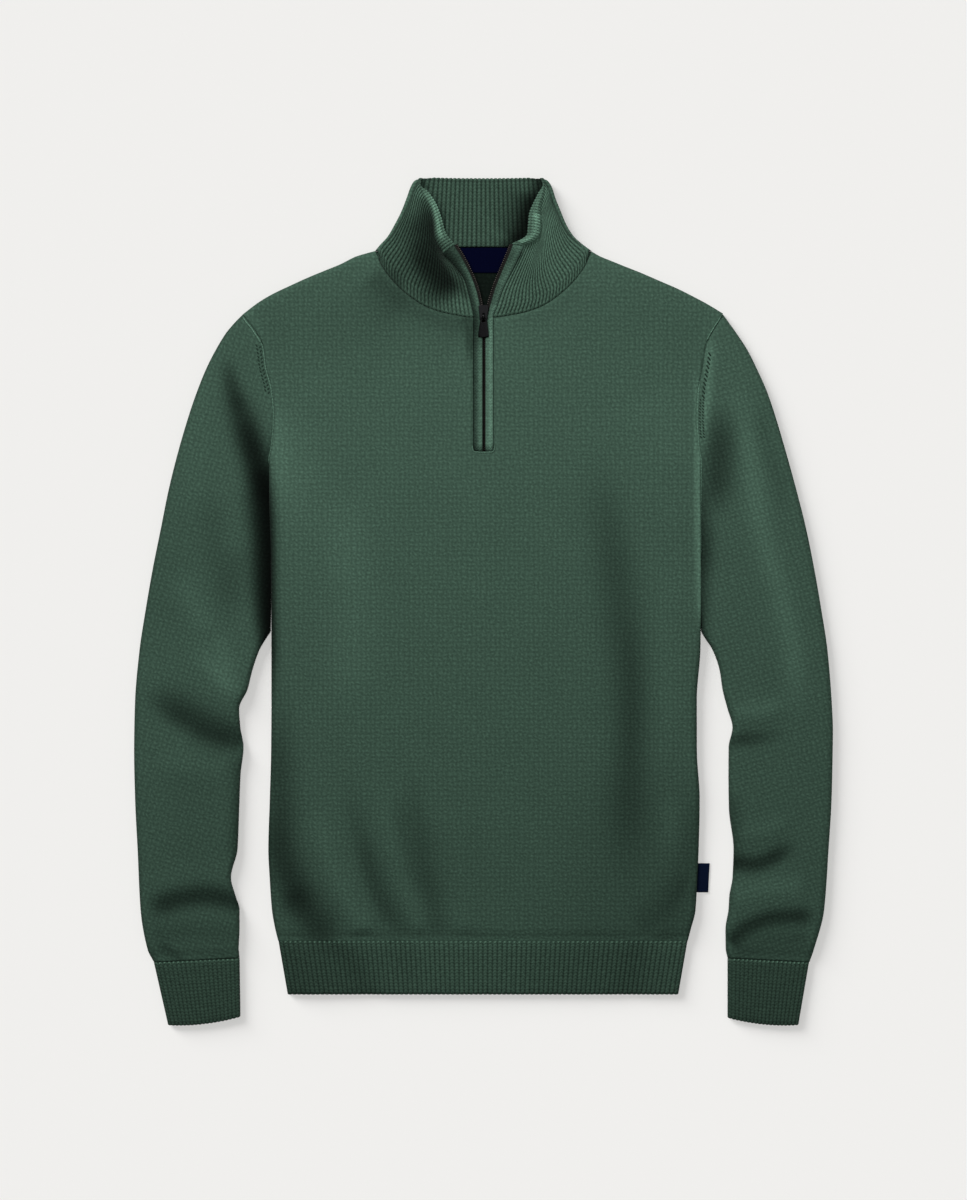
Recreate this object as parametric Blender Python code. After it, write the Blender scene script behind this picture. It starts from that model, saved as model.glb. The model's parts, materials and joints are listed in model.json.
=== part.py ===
"""Quarter zip sweater laid flat on its back: knitted panels, ribs, collar and zip as closed cloth walls.

The garment lies on the plane z = 0, hem towards -Y and collar towards +Y. The sizes below are in
millimetres, and every mesh is made in metres. Left and right are those of someone looking down at it.
"""

import bmesh
import bpy
import numpy as np

MM = 0.001
LEFT, RIGHT = 1, 2
SIGN = {LEFT: -1.0, RIGHT: 1.0}
NAMES = {LEFT: "left", RIGHT: "right"}

# Cloth and seams
WALL = 2.2            # body and sleeve knit
RIB_WALL = 3.0        # doubled rib of the hem, cuffs and collar
SEAM = 0.3            # gap between pieces at a seam
CURVED_SEAM = 0.45    # and along a curve, where the two sides have their points at different places
RIB_RELIEF = 0.8      # how far a rib stands above the groove beside it
BODY_LOFT = 7.4       # top of the front panel above the surface
SLEEVE_LOFT = 8.2     # top of a sleeve
SEAM_HEIGHT = 5.8     # top of the cloth at an armhole or neck seam
EDGE_HEIGHT = 4.0     # outermost point of the front panel at a side
FLAT_MIN = 5.0        # lowest that a fold may press the upper layer
ROLL = 6.0            # how far in from an edge the cloth rolls over
FRONT_UNDER = WALL + SEAM
SIDE_HEIGHT = 2.6     # height of the outermost line of a flattened tube

# Body
HEM_SEAM_Y = -328.8
NECK_HALF = 105.0

# Rows of the body panels, as heights on the side seam and armhole, hem to shoulder point
PANEL_ROWS = (-328.8, -324, -314, -298, -270, -240, -192, -144, -95, -46, 0, 41,
              70, 99, 137, 150, 181, 205, 228, 248.3, 263, 274.5, 279.4)
UNDERARM_ROW = 11
SLIT_ROW = 15         # row at the foot of the zip slit
INNER_COLUMNS = (10, 26, 42, 58, 74, 88, 98.5, 105)      # from the centre line to the neck point
OUTER_COLUMNS = (0.22, 0.46, 0.68, 0.86, 0.955, 0.985, 1)  # share of the way on to the side

# height y, left half width, right half width
SIDE_SEAM = (
    (-328.8, 197.4, 196.4),
    (-318, 202.2, 201.3),
    (-299, 205.5, 206.0),
    (-270, 207.6, 207.6),
    (-240, 209.0, 209.0),
    (-192, 207.6, 210.0),
    (-144, 206.3, 207.3),
    (-95, 206.0, 207.2),
    (-46, 206.0, 210.6),
    (41, 206.6, 211.3),
    (99, 208.0, 211.0),
    (137, 208.0, 210.9),
    (150, 205.6, 208.9),
    (181, 203.2, 207.0),
    (205, 205.3, 208.3),
    (228, 211.0, 212.2),
    (248.3, 213.9, 215.6),
    (279.4, 233.8, 232.6),
)

# distance from the centre line, left height y, right height y
SHOULDER = (
    (105, 341.0, 340.4),
    (113, 338.8, 335.8),
    (124, 335.5, 331.3),
    (139, 328.0, 325.2),
    (152, 322.7, 320.1),
    (170, 315.3, 312.3),
    (188, 307.1, 304.5),
    (205, 299.0, 296.0),
    (218, 291.3, 289.0),
    (233.8, 279.4, 279.4),
)

# distance from the centre line, height y of the front neck seam
NECKLINE = (
    (10, 276.2),
    (26, 278.2),
    (42, 281.6),
    (58, 287.6),
    (74, 298.4),
    (88, 311.6),
    (98.5, 325.9),
    (105, 341.0),
)
BACK_NECK_Y = 345.0
BACK_NECK_DROP = 4.4

# height y, left outer edge of the sleeve, right outer edge
SLEEVE_OUTER = (
    (-356, 317.0, 314.6),
    (-349.2, 320.6, 317.0),
    (-337.6, 326.4, 321.0),
    (-299, 333.2, 331.0),
    (-240, 336.1, 335.3),
    (-192, 338.5, 338.2),
    (-143.6, 339.5, 339.3),
    (-125, 339.3, 339.5),
    (-95, 338.5, 338.2),
    (-46.6, 334.2, 334.2),
    (-7.8, 328.3, 328.3),
    (31, 321.6, 321.6),
    (69.8, 313.8, 313.8),
    (108.6, 306.0, 304.1),
    (147.4, 296.3, 293.4),
    (186.2, 284.7, 281.8),
    (205.6, 277.9, 275.0),
    (225, 270.1, 266.3),
    (244.4, 260.4, 256.6),
    (265.8, 246.9, 242.5),
    (279.4, 233.8, 232.6),
)

# height y, left inner edge of the sleeve, right inner edge
SLEEVE_INNER = (
    (-346, 237.2, 237.2),
    (-337, 238.0, 235.4),
    (-318, 237.2, 235.2),
    (-299, 237.2, 238.1),
    (-286, 241.0, 238.9),
    (-268, 245.5, 242.0),
    (-240, 239.1, 243.0),
    (-200, 237.5, 238.5),
    (-168, 236.2, 238.1),
    (-141, 233.3, 238.3),
    (-122, 236.4, 242.0),
    (-104, 237.6, 237.2),
    (-85, 229.4, 232.3),
    (-66, 224.6, 229.4),
    (-46.6, 217.8, 222.6),
    (-34, 211.5, 215.8),
    (-25, 208.5, 213.2),
    (2, 207.4, 212.2),
    (41, 207.0, 211.7),
)

# Sections across a sleeve: height y on its outer edge, height y on its inner edge
SLEEVE_SECTIONS = (
    (279.4, 41),
    (262, 37),
    (240, 31),
    (212, 23),
    (180, 13),
    (145, 3),
    (105, -7),
    (62, -17),
    (20, -27),
    (-20, -37),
    (-46, -50),
    (-72, -66),
    (-95, -85),
    (-116, -104),
    (-137, -122),
    (-158, -141),
    (-185, -168),
    (-215, -200),
    (-245, -240),
    (-272, -268),
    (-292, -286),
    (-312, -302),
    (-333, -325),
    (-349.5, -345.5),
)
CAP_SECTIONS = 9      # sections over which the armhole's curve fades out
EDGE_SHARES = (0.055, 0.95, 0.985)  # places across a sleeve that follow its rolled edges
EDGE_THIN = 3.5       # how fast the wall's full thickness is reached inwards from a side
HOLLOW_MIN = 0.3      # least height of the hollow between a tube's two layers
CUFF_SEAM_Y = -346.0
CUFF_FADE = 12.0      # length over which a sleeve comes down to its cuff

# Folds: x and y of three points along it, half width, height
BODY_FOLDS = (
    (-187, 167, -155, 80, -129, -17, 22, 0.8),
    (-204, -180, -184, -280, -146, -330, 9, -1.5),
    (-168, -180, -139, -270, -116, -325, 10, 1.2),
    (-141, -160, -115, -260, -84, -330, 9, -1.4),
    (-105, -165, -80, -260, -58, -325, 10, 1.0),
    (-78, -130, -52, -250, -36, -330, 10, -1.3),
    (103, 140, 140, -60, 144, -230, 18, -1.7),
    (150, 110, 176, -60, 180, -210, 16, 0.8),
    (204, -250, 182, -290, 158, -328, 8, -1.3),
)
SLEEVE_FOLDS = {
    LEFT: (
        (-246, 240, -229, 166, -216, 108, 8, -2.4),
        (-222, 150, -212, 60, -210, -45, 8, -2.8),
        (-262, 190, -252, 120, -244, 30, 16, 1.2),
        (-318, -82, -280, -110, -244, -140, 8, -2.6),
        (-290, -30, -260, -58, -236, -90, 12, 2.0),
        (-322, -140, -285, -165, -246, -178, 14, 1.2),
        (-316, -296, -277, -282, -238, -296, 6.5, -2.0),
        (-316, -318, -277, -308, -238, -320, 8, 1.5),
    ),
    RIGHT: (
        (231, 200, 229, 70, 229, -30, 9, -1.2),
        (217, 140, 214, 60, 213, -45, 5, -2.6),
        (297, 60, 300, -30, 302, -100, 16, 1.4),
        (238, -136, 268, -134, 304, -128, 8, -2.6),
        (238, -110, 262, -106, 292, -98, 9, 1.8),
        (240, -262, 268, -250, 292, -238, 7, -2.0),
        (238, -232, 268, -222, 300, -214, 10, 1.2),
        (236, -328, 278, -305, 318, -307, 7, -1.9),
    ),
}

# Hem rib and cuffs
HEM_BOTTOM_Y = -381.2
HEM_TOP_HALF = {LEFT: 197.1, RIGHT: 196.1}
HEM_BOTTOM_HALF = {LEFT: 189.6, RIGHT: 188.7}
HEM_RIBS = 84
HEM_LOFT = 5.6
HEM_BACK_TOP = 2.6
HEM_SEAM_DEPTH = 3.0  # how far the ribs sink towards the seam above them
HEM_FOOT_DEPTH = 2.4  # how far they round over at the foot
HEM_DROPS = (0.5, 0.0, 0.0, 1.2)
CUFF_RIBS = 19
CUFF_LOFT = 6.6
# x and y of a cuff's corners, outer top, outer foot, inner foot and inner top, and the sag of its foot
CUFFS = {
    LEFT: ((-320.3, -349.9), (-306.5, -411.0), (-236.3, -402.9), (-237.2, CUFF_SEAM_Y), 2.9),
    RIGHT: ((316.3, -349.9), (306.0, -410.8), (237.2, -403.9), (237.2, CUFF_SEAM_Y), 2.9),
}
CUFF_HOLLOW = (2.4, 3.5)   # heights between which a cuff is hollow
CUFF_DEPTHS = (0, 0.06, 0.5, 0.95, 1)
CUFF_DROPS = (0.4, 0.0, 0.0, 0.0, 0.9)
CUFF_SHARES = (0.0, 0.04, 0.25, 0.5, 0.75, 0.96, 1.0)  # places across its plain inside
CUFF_SIDE = 0.03           # thickness at its sides, as a share of its width

# Collar
COLLAR_WALL = 3.2
BACK_RIBS = 28        # ribs inside the back of the collar
WING_RIBS = 27        # ribs on each front wing
COLLAR_TOP_Y = 411.3
COLLAR_DIP = 1.9      # how much lower the back's top edge is at the middle
COLLAR_TOP_HALF = 60.0
FOLD_INSET = 5.0      # how far the side fold reaches in from the outline
COLLAR_BACK_TOP = 3.3
WING_UNDER = 4.7      # lowest that the wings' underside comes
RIB_SPREAD = 1.1      # width of the back's ribs at the seam against that at the top
SIDE_SPREAD = 0.055   # how much more the outer ones spread
OUTER_RIBS_FROM = 40.0
ROLL_FROM = 0.85      # share of a wing's depth at which its top edge rolls over
ROLL_START = 0.97     # share of the side fold's length that it matches
ROLL_TURN = (0.6, 0.8)  # how far the roll turns in and up at the side fold
FOLD_TOP_Y = COLLAR_TOP_Y - 2.7

RIB_EDGE = 0.05       # share of a wing's depth over which its ribs rise at the seam
RIB_EDGE_LEAST = 0.25
WING_INSIDE = (0.0, 0.12, 0.3, 0.5, 0.7, 0.86, 1.0)  # places across a wing's plain inside
BACK_STATIONS = 13    # places across the back's plain underside
BACK_TOP_HALF = {LEFT: 55.0, RIGHT: 53.0}            # outermost ribs of the back at its top edge
# side fold of the collar, from the front round to the underside: how far in from the outline, height
FOLD_SECTION = ((1.3, 7.0), (0.0, 4.2), (1.3, 1.3), (FOLD_INSET, 0.0))
FOLD_HOLLOW = (COLLAR_WALL + 1.2, COLLAR_BACK_TOP + 0.9)  # the same for the inside of the fold

# height y, left outline, right outline
COLLAR_SIDE = (
    (341.8, 104.0, 102.4),
    (346.5, 98.6, 95.8),
    (353, 92.6, 89.8),
    (373.4, 80.0, 78.0),
    (392.8, 71.3, 69.3),
    (411.3, 63.0, 60.2),
)

# where the rolled top edge of a wing starts, then where it ends, from the side fold to the zip
ROLL_OUTER = {
    LEFT: ((-58.2, 408.6), (-53.6, 394.8), (-50.6, 383.6), (-48.8, 369.6), (-49.6, 357.3),
           (-48.4, 349.0), (-45.2, 342.2), (-39.6, 337.9)),
    RIGHT: ((55.4, 408.6), (55.6, 394.8), (54.9, 383.1), (53.8, 370.5), (52.0, 358.9),
            (47.6, 351.0), (43.4, 347.0), (39.8, 344.6)),
}
ROLL_INNER = {
    LEFT: ((-57.0, 409.8), (-51.4, 394.5), (-44.0, 379.0), (-39.3, 368.2), (-36.4, 356.0),
           (-28.9, 345.7)),
    RIGHT: ((54.6, 409.8), (50.8, 396.1), (44.1, 382.2), (41.1, 368.2), (37.2, 357.3),
            (28.9, 347.0)),
}

# share of a wing's depth from seam to top, then height at the side fold, a third in, two thirds in, at the zip
WING_HEIGHTS = (
    (0.0, 6.2, 6.3, 6.3, 6.6),
    (0.06, 7.4, 8.0, 7.8, 7.4),
    (0.2, 8.4, 10.2, 9.8, 8.2),
    (0.42, 8.8, 12.2, 10.8, 8.6),
    (0.62, 8.8, 12.4, 10.2, 9.2),
    (0.75, 8.8, 11.6, 9.4, 10.2),
    (0.85, 8.8, 11.2, 10.0, 11.6),
    (0.93, 8.8, 12.6, 13.2, 13.6),
    (1.0, 8.2, 10.0, 11.2, 12.0),
)
WING_STATIONS = (0.0, 0.33, 0.67, 1.0)

# Zip: height y and x on a facing's outer edge, height y and x on its inner edge, height of its crown
BAND_ROWS = {
    LEFT: (
        (147.8, -9.7, 147.8, -1.5, 7.2),
        (262, -9.7, 262, -1.5, 7.2),
        (276.7, -9.7, 274.0, -1.7, 7.4),
        (288.1, -11.6, 284.7, -3.2, 8.0),
        (300, -14.4, 298, -5.9, 9.4),
        (312.3, -18.2, 311.5, -10.3, 11.0),
        (324.9, -27.2, 325.5, -16.9, 12.6),
        (331.5, -33.2, 334.5, -21.8, 13.4),
        (337.2, -39.2, 345.0, -28.5, 14.0),
    ),
    RIGHT: (
        (147.8, 9.7, 147.8, 1.5, 7.2),
        (262, 9.7, 262, 1.5, 7.2),
        (276.7, 9.7, 274.0, 3.2, 7.4),
        (286.0, 13.1, 287.0, 6.4, 8.0),
        (300, 17.8, 303, 11.2, 9.4),
        (315.3, 25.0, 318.5, 17.3, 11.4),
        (324.9, 30.0, 328.5, 21.6, 12.6),
        (334.2, 34.6, 337.5, 25.4, 13.4),
        (343.8, 39.2, 346.2, 28.8, 14.0),
    ),
}
BAND_WALL = 2.4
BAND_ROUND = 1.1      # how much lower a facing is at its edges than at its crown
# place across a facing, share of BAND_ROUND that it lies lower there
BAND_SECTION = ((0.0, 1.0), (0.16, 0.3), (0.5, 0.0), (0.84, 0.3), (1.0, 1.0))
TAPE_GAP = 0.35       # from a facing's plain underside down to its tape
TAPE_WALL = 0.8
TAPE_UNDER_BAND = 4.0
CLOSED_LIP = 1.35     # how far a tape stands out from its facing where the zip is closed
OPEN_LIP = 3.2        # and where it is open
CLOSED_ROWS = 3       # rows of BAND_ROWS where the zip is closed

# Slider and pull tab
SLIDER_FOOT_Y, SLIDER_HEAD_Y = 272.6, 288.0
SLIDER_FOOT_HALF, SLIDER_HEAD_HALF = 3.7, 4.9
SLIDER_UNDER, SLIDER_TOP = 8.4, 9.6
BRIDGE_HALF = 1.1
BRIDGE_Y = (272.9, 273.9, 277.4, 279.6)   # foot, hole start, hole end, head
BRIDGE_HOLE_TOP, BRIDGE_TOP = 12.1, 13.0
BRIDGE_SINK = 0.3     # how far its feet go into the slider's plate, to be one solid with it
PIVOT_Y, PIVOT_Z = 275.6, 10.9
BAR_HALF = 0.6
WINDOW_HALF, WINDOW_LENGTH = 1.6, 4.2
HEAD_HALF, TIP_HALF = 2.8, 5.3
PULL_LENGTH = 19.0
PULL_THICK = 1.1
PULL_DROP = 2.6       # how much lower the tab's tip lies than its pivot

# Labels
NECK_LABEL = (-29.0, 31.0, 319.6, 344.3)  # left, right, foot, head
LABEL_THICK = 0.6
SIDE_LABEL_Y = (-282.3, -254.1)
SIDE_LABEL_WIDTH = 9.2
SIDE_LABEL_THICK = 1.0

# name, base colour, roughness, metallic
FINISHES = {
    "green_knit": ((0.050, 0.092, 0.068, 1), 0.9, 0.0),
    "green_rib": ((0.045, 0.084, 0.062, 1), 0.9, 0.0),
    "zip_tape": ((0.012, 0.013, 0.012, 1), 0.8, 0.0),
    "zip_metal": ((0.020, 0.020, 0.022, 1), 0.35, 1.0),
    "navy_label": ((0.006, 0.009, 0.040, 1), 0.7, 0.0),
}


def clear_scene():
    for obj in list(bpy.data.objects):
        bpy.data.objects.remove(obj, do_unlink=True)


def finish_named(name):
    found = bpy.data.materials.get(name)
    if found:
        return found
    colour, roughness, metallic = FINISHES[name]
    made = bpy.data.materials.new(name)
    made.use_nodes = True
    shader = made.node_tree.nodes["Principled BSDF"]
    shader.inputs["Base Color"].default_value = colour
    shader.inputs["Roughness"].default_value = roughness
    shader.inputs["Metallic"].default_value = metallic
    made.diffuse_color = colour
    return made


def solid(name, points, faces, finish):
    """One object from points in millimetres, with its faces turned outwards."""
    mesh = bpy.data.meshes.new(name)
    mesh.from_pydata([tuple(p * MM) for p in points], [], [list(map(int, f)) for f in faces])
    work = bmesh.new()
    work.from_mesh(mesh)
    bmesh.ops.recalc_face_normals(work, faces=work.faces)
    if work.calc_volume(signed=True) < 0:
        bmesh.ops.reverse_faces(work, faces=work.faces)
    work.to_mesh(mesh)
    work.free()
    mesh.materials.append(finish_named(finish))
    mesh.shade_smooth()
    mesh.set_sharp_from_angle(angle=np.radians(50))
    made = bpy.data.objects.new(name, mesh)
    bpy.context.scene.collection.objects.link(made)
    return made


def read(table, column, at):
    """A column of a table, between its rows."""
    rows = np.array(table, float)
    return np.interp(at, rows[:, 0], rows[:, column])


def by_side(table, x, at):
    """The left or the right column, by the sign of x."""
    return np.where(x < 0, read(table, LEFT, at), read(table, RIGHT, at))


def along(line, share):
    """Points at these shares of a polyline's length."""
    line = np.array(line, float)
    run = np.concatenate([[0], np.cumsum(np.linalg.norm(np.diff(line, axis=0), axis=1))])
    return np.stack([np.interp(np.asarray(share) * run[-1], run, line[:, k]) for k in (0, 1)], axis=-1)


def beside(line, gap):
    """A polyline moved sideways, to the left of its direction, by gap."""
    line = np.array(line, float)
    way = np.gradient(line, axis=0)
    way /= np.linalg.norm(way, axis=1)[:, None]
    return line + gap * np.stack([-way[:, 1], way[:, 0]], axis=1)


def nearest(line, x, y):
    """Distance from each point to a polyline, and the share of its length where it is nearest."""
    line = np.array(line, float)
    run = np.concatenate([[0], np.cumsum(np.linalg.norm(np.diff(line, axis=0), axis=1))])
    best = np.full(np.shape(x), np.inf)
    share = np.zeros(np.shape(x))
    for i in range(len(line) - 1):
        (ax, ay), (dx, dy) = line[i], line[i + 1] - line[i]
        t = np.clip(((x - ax) * dx + (y - ay) * dy) / (dx * dx + dy * dy), 0, 1)
        d = np.hypot(x - ax - t * dx, y - ay - t * dy)
        share = np.where(d < best, (run[i] + t * (run[i + 1] - run[i])) / run[-1], share)
        best = np.minimum(best, d)
    return best, share


def folds(table, x, y):
    """Height that the folds of a table add, each a soft ridge or trough that fades at both ends."""
    total = np.zeros(np.shape(x))
    for row in table:
        away, share = nearest(np.array(row[:6]).reshape(3, 2), x, y)
        fade = np.clip(np.minimum(share, 1 - share) / 0.22, 0, 1)
        total += row[7] * np.exp(-((away / row[6]) ** 2)) * fade * fade * (3 - 2 * fade)
    return total


def rolled(distance, reach=ROLL):
    """From 0 at an edge to 1 at reach, as a quarter round."""
    q = 1 - np.clip(distance / reach, 0, 1)
    return np.sqrt(np.maximum(0, 1 - q * q))


def grid_faces(ids, ring):
    if ring:
        ids = np.concatenate([ids, ids[:, :1]], axis=1)
    a, b, c, d = ids[:-1, :-1], ids[:-1, 1:], ids[1:, 1:], ids[1:, :-1]
    return np.stack([a, b, c, d], axis=-1).reshape(-1, 4).tolist()


def zipped(first, first_at, second, second_at):
    """Triangles between two rims, each rim's points in order at rising places."""
    faces, i, j = [], 0, 0
    while i + 1 < len(first) or j + 1 < len(second):
        step_first = j + 1 == len(second) or (
            i + 1 < len(first) and first_at[i + 1] <= second_at[j + 1]
        )
        if step_first:
            faces.append((first[i], second[j], first[i + 1]))
            i += 1
        else:
            faces.append((first[i], second[j], second[j + 1]))
            j += 1
    return faces


def wall(name, outer, outer_at, inner, inner_at, finish, ring=False):
    """A closed wall from an outer and an inner grid of points. Their columns may differ in number."""
    outer_ids = np.arange(outer.shape[0] * outer.shape[1]).reshape(outer.shape[:2])
    inner_ids = outer_ids.size + np.arange(inner.shape[0] * inner.shape[1]).reshape(inner.shape[:2])
    points = np.concatenate([outer.reshape(-1, 3), inner.reshape(-1, 3)])
    faces = grid_faces(outer_ids, ring) + grid_faces(inner_ids, ring)
    for row in (0, -1):
        first, second = list(outer_ids[row]), list(inner_ids[row])
        first_at, second_at = list(outer_at), list(inner_at)
        if ring:
            first, second = first + first[:1], second + second[:1]
            first_at, second_at = first_at + [2.0], second_at + [2.0]
        faces += zipped(first, first_at, second, second_at)
    if not ring:
        rows_at = np.linspace(0, 1, outer.shape[0])
        for column in (0, -1):
            faces += zipped(outer_ids[:, column], rows_at, inner_ids[:, column], rows_at)
    return solid(name, points, faces, finish)


def plate(name, top, bottom, finish, keep=None):
    """A closed plate between two like grids, without the cells that keep leaves out."""
    rows, columns = top.shape[:2]
    if keep is None:
        keep = np.ones((rows - 1, columns - 1), bool)
    upper = np.arange(rows * columns).reshape(rows, columns)
    lower = upper + upper.size
    faces = []
    for r, c in zip(*np.nonzero(keep)):
        corners = [(r, c), (r, c + 1), (r + 1, c + 1), (r + 1, c)]
        neighbours = [(r - 1, c), (r, c + 1), (r + 1, c), (r, c - 1)]
        faces.append([upper[k] for k in corners])
        faces.append([lower[k] for k in corners])
        for k, (nr, nc) in enumerate(neighbours):
            inside = 0 <= nr < rows - 1 and 0 <= nc < columns - 1
            if inside and keep[nr, nc]:
                continue
            a, b = corners[k], corners[(k + 1) % 4]
            faces.append([upper[a], upper[b], lower[b], lower[a]])
    points = np.concatenate([top.reshape(-1, 3), bottom.reshape(-1, 3)])
    used = np.unique([i for face in faces for i in face])
    place = np.zeros(len(points), int)
    place[used] = np.arange(len(used))
    return solid(name, points[used], [[place[i] for i in face] for face in faces], finish)


def lifted(plan, z):
    """Plan points with a height each."""
    return np.concatenate([plan, np.broadcast_to(z, plan.shape[:-1])[..., None]], axis=-1)


# ---- Body panels

def panel_columns():
    """Signed columns of a body panel as (distance from the centre to the neck point, share on to the side)."""
    half = [(x, 0.0) for x in INNER_COLUMNS] + [(NECK_HALF, f) for f in OUTER_COLUMNS]
    left = [(-x, -f) for x, f in reversed(half)]
    return left + [(0.0, 0.0)] + half


def back_neck(x):
    return BACK_NECK_Y - BACK_NECK_DROP * (x / NECK_HALF) ** 2


def top_line(x, neck):
    """Upper edge of a body panel: its neck curve, and beyond it the shoulder."""
    return np.where(np.abs(x) < NECK_HALF, neck(x), by_side(SHOULDER, x, np.abs(x)))


def front_neck(x):
    return read(NECKLINE, 1, np.abs(x))


def panel_plan(neck):
    """Plan points of a body panel, rows from the hem to the shoulder."""
    rows = np.array(PANEL_ROWS, float)
    rise = (rows - rows[0]) / (rows[-1] - rows[0])
    lines = []
    for x, share in panel_columns():
        side = LEFT if x < 0 else RIGHT
        reach = read(SIDE_SEAM, side, rows) - NECK_HALF
        across = x + share * reach
        top = float(top_line(np.array(across[-1]), neck)) if share else float(neck(np.array(x)))
        lines.append(np.stack([across, rows[0] + rise * (top - rows[0])], axis=1))
    return np.stack(lines, axis=1)


def front_height(x, y):
    """Height of the front panel's face."""
    loft = np.maximum(FLAT_MIN, BODY_LOFT + folds(BODY_FOLDS, x, y))
    side_edge = np.interp(y, [100, 150], [EDGE_HEIGHT, SEAM_HEIGHT])
    from_side = by_side(SIDE_SEAM, x, y) - np.abs(x)
    height = side_edge + (loft - side_edge) * rolled(from_side)
    on_neck = np.abs(x) < NECK_HALF
    top_edge = np.where(on_neck, SEAM_HEIGHT, EDGE_HEIGHT)
    from_top = top_line(x, front_neck) - y
    height = np.minimum(height, top_edge + (loft - top_edge) * rolled(from_top))
    from_hem = y - HEM_SEAM_Y
    return np.minimum(height, HEM_LOFT + (loft - HEM_LOFT) * rolled(from_hem, 2 * ROLL))


def make_front():
    plan = panel_plan(front_neck)
    top = front_height(plan[..., 0], plan[..., 1])
    under = np.maximum(FRONT_UNDER, top - WALL)
    keep = np.ones((plan.shape[0] - 1, plan.shape[1] - 1), bool)
    middle = len(INNER_COLUMNS) + len(OUTER_COLUMNS)
    keep[SLIT_ROW:, middle - 1:middle + 1] = False
    return plate("front", lifted(plan, top), lifted(plan, under), "green_knit", keep)


def make_back():
    plan = panel_plan(back_neck)
    return plate("back", lifted(plan, WALL), lifted(plan, 0.0), "green_knit")


# ---- Sleeves

def armhole(side):
    """The armhole seam from the shoulder point to the underarm, on the sleeve's side of the gap."""
    y = np.array(PANEL_ROWS[UNDERARM_ROW:][::-1], float)
    line = np.stack([SIGN[side] * read(SIDE_SEAM, side, y), y], axis=1)
    return beside(line, SIGN[side] * CURVED_SEAM)


def sleeve_shares(side):
    """Places across a sleeve: those of the armhole's points, and some at each rolled edge."""
    line = armhole(side)
    run = np.concatenate([[0], np.cumsum(np.linalg.norm(np.diff(line, axis=0), axis=1))])
    return np.unique(np.concatenate([run / run[-1], EDGE_SHARES]))


def sleeve_plan(side):
    shares = sleeve_shares(side)
    cap = along(armhole(side), shares)
    bulge = cap - (cap[0] + shares[:, None] * (cap[-1] - cap[0]))
    rows = []
    for k, (outer_y, inner_y) in enumerate(SLEEVE_SECTIONS):
        start = np.array([SIGN[side] * read(SLEEVE_OUTER, side, outer_y), outer_y])
        end = np.array([SIGN[side] * read(SLEEVE_INNER, side, inner_y), inner_y])
        fade = max(0.0, 1 - k / CAP_SECTIONS) ** 2
        if k == 0:
            start, end = cap[0], cap[-1]
        rows.append(start + shares[:, None] * (end - start) + fade * bulge)
    return np.stack(rows)


def sleeve_height(side, x, y):
    """Height of a sleeve's face, before its edges roll over."""
    from_seam = nearest(armhole(side), x, y)[0]
    from_cuff = np.clip((y - CUFF_SEAM_Y) / CUFF_FADE, 0, 1)
    loft = SLEEVE_LOFT + folds(SLEEVE_FOLDS[side], x, y)
    loft = SEAM_HEIGHT + (loft - SEAM_HEIGHT) * rolled(from_seam, 3 * ROLL)
    loft = CUFF_LOFT + (loft - CUFF_LOFT) * np.sqrt(from_cuff)
    return np.maximum(FLAT_MIN, loft)


def tube(name, plan, loft, shares, thick, finish):
    """A flattened tube open at both ends. plan has a row for each section, and a column for each place across."""
    width = np.linalg.norm(plan[:, -1] - plan[:, 0], axis=1)[:, None]
    from_edge = np.minimum(shares, 1 - shares) * width
    across = (plan[:, -1] - plan[:, 0]) / width
    inward = np.where(shares < 0.5, 1.0, -1.0)[None, :, None] * across[:, None, :]
    upper = SIDE_HEIGHT + (loft - SIDE_HEIGHT) * rolled(from_edge)
    lower = SIDE_HEIGHT * (1 - rolled(from_edge, ROLL / 2))
    shift = thick * np.exp(-from_edge / EDGE_THIN)
    hollow = plan + inward * shift[..., None]
    hollow_upper = SIDE_HEIGHT + (loft - thick - SIDE_HEIGHT) * rolled(from_edge)
    hollow_lower = np.minimum(thick, hollow_upper - HOLLOW_MIN)
    back = slice(-2, 0, -1)
    outer = np.concatenate([lifted(plan, upper), lifted(plan, lower)[:, back]], axis=1)
    inner = np.concatenate([lifted(hollow, hollow_upper), lifted(hollow, hollow_lower)[:, back]], axis=1)
    at = np.concatenate([shares, 2 - shares[back]])
    return wall(name, outer, at, inner, at, finish, ring=True)


def make_sleeve(side):
    plan = sleeve_plan(side)
    loft = sleeve_height(side, plan[..., 0], plan[..., 1])
    return tube(f"sleeve_{NAMES[side]}", plan, loft, sleeve_shares(side), WALL, "green_knit")


# ---- Hem and cuffs

def ribbed(count):
    """Places of a row of ribs, and 0 at each groove or 1 at each crest."""
    at = np.linspace(0, 1, 2 * count + 1)
    return at, (np.arange(2 * count + 1) % 2).astype(float)


def hem_line(share, depth):
    """x across the hem rib at a depth from 0 at its seam to 1 at its foot."""
    left = HEM_TOP_HALF[LEFT] + depth * (HEM_BOTTOM_HALF[LEFT] - HEM_TOP_HALF[LEFT])
    right = HEM_TOP_HALF[RIGHT] + depth * (HEM_BOTTOM_HALF[RIGHT] - HEM_TOP_HALF[RIGHT])
    return -left + share * (left + right)


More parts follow.
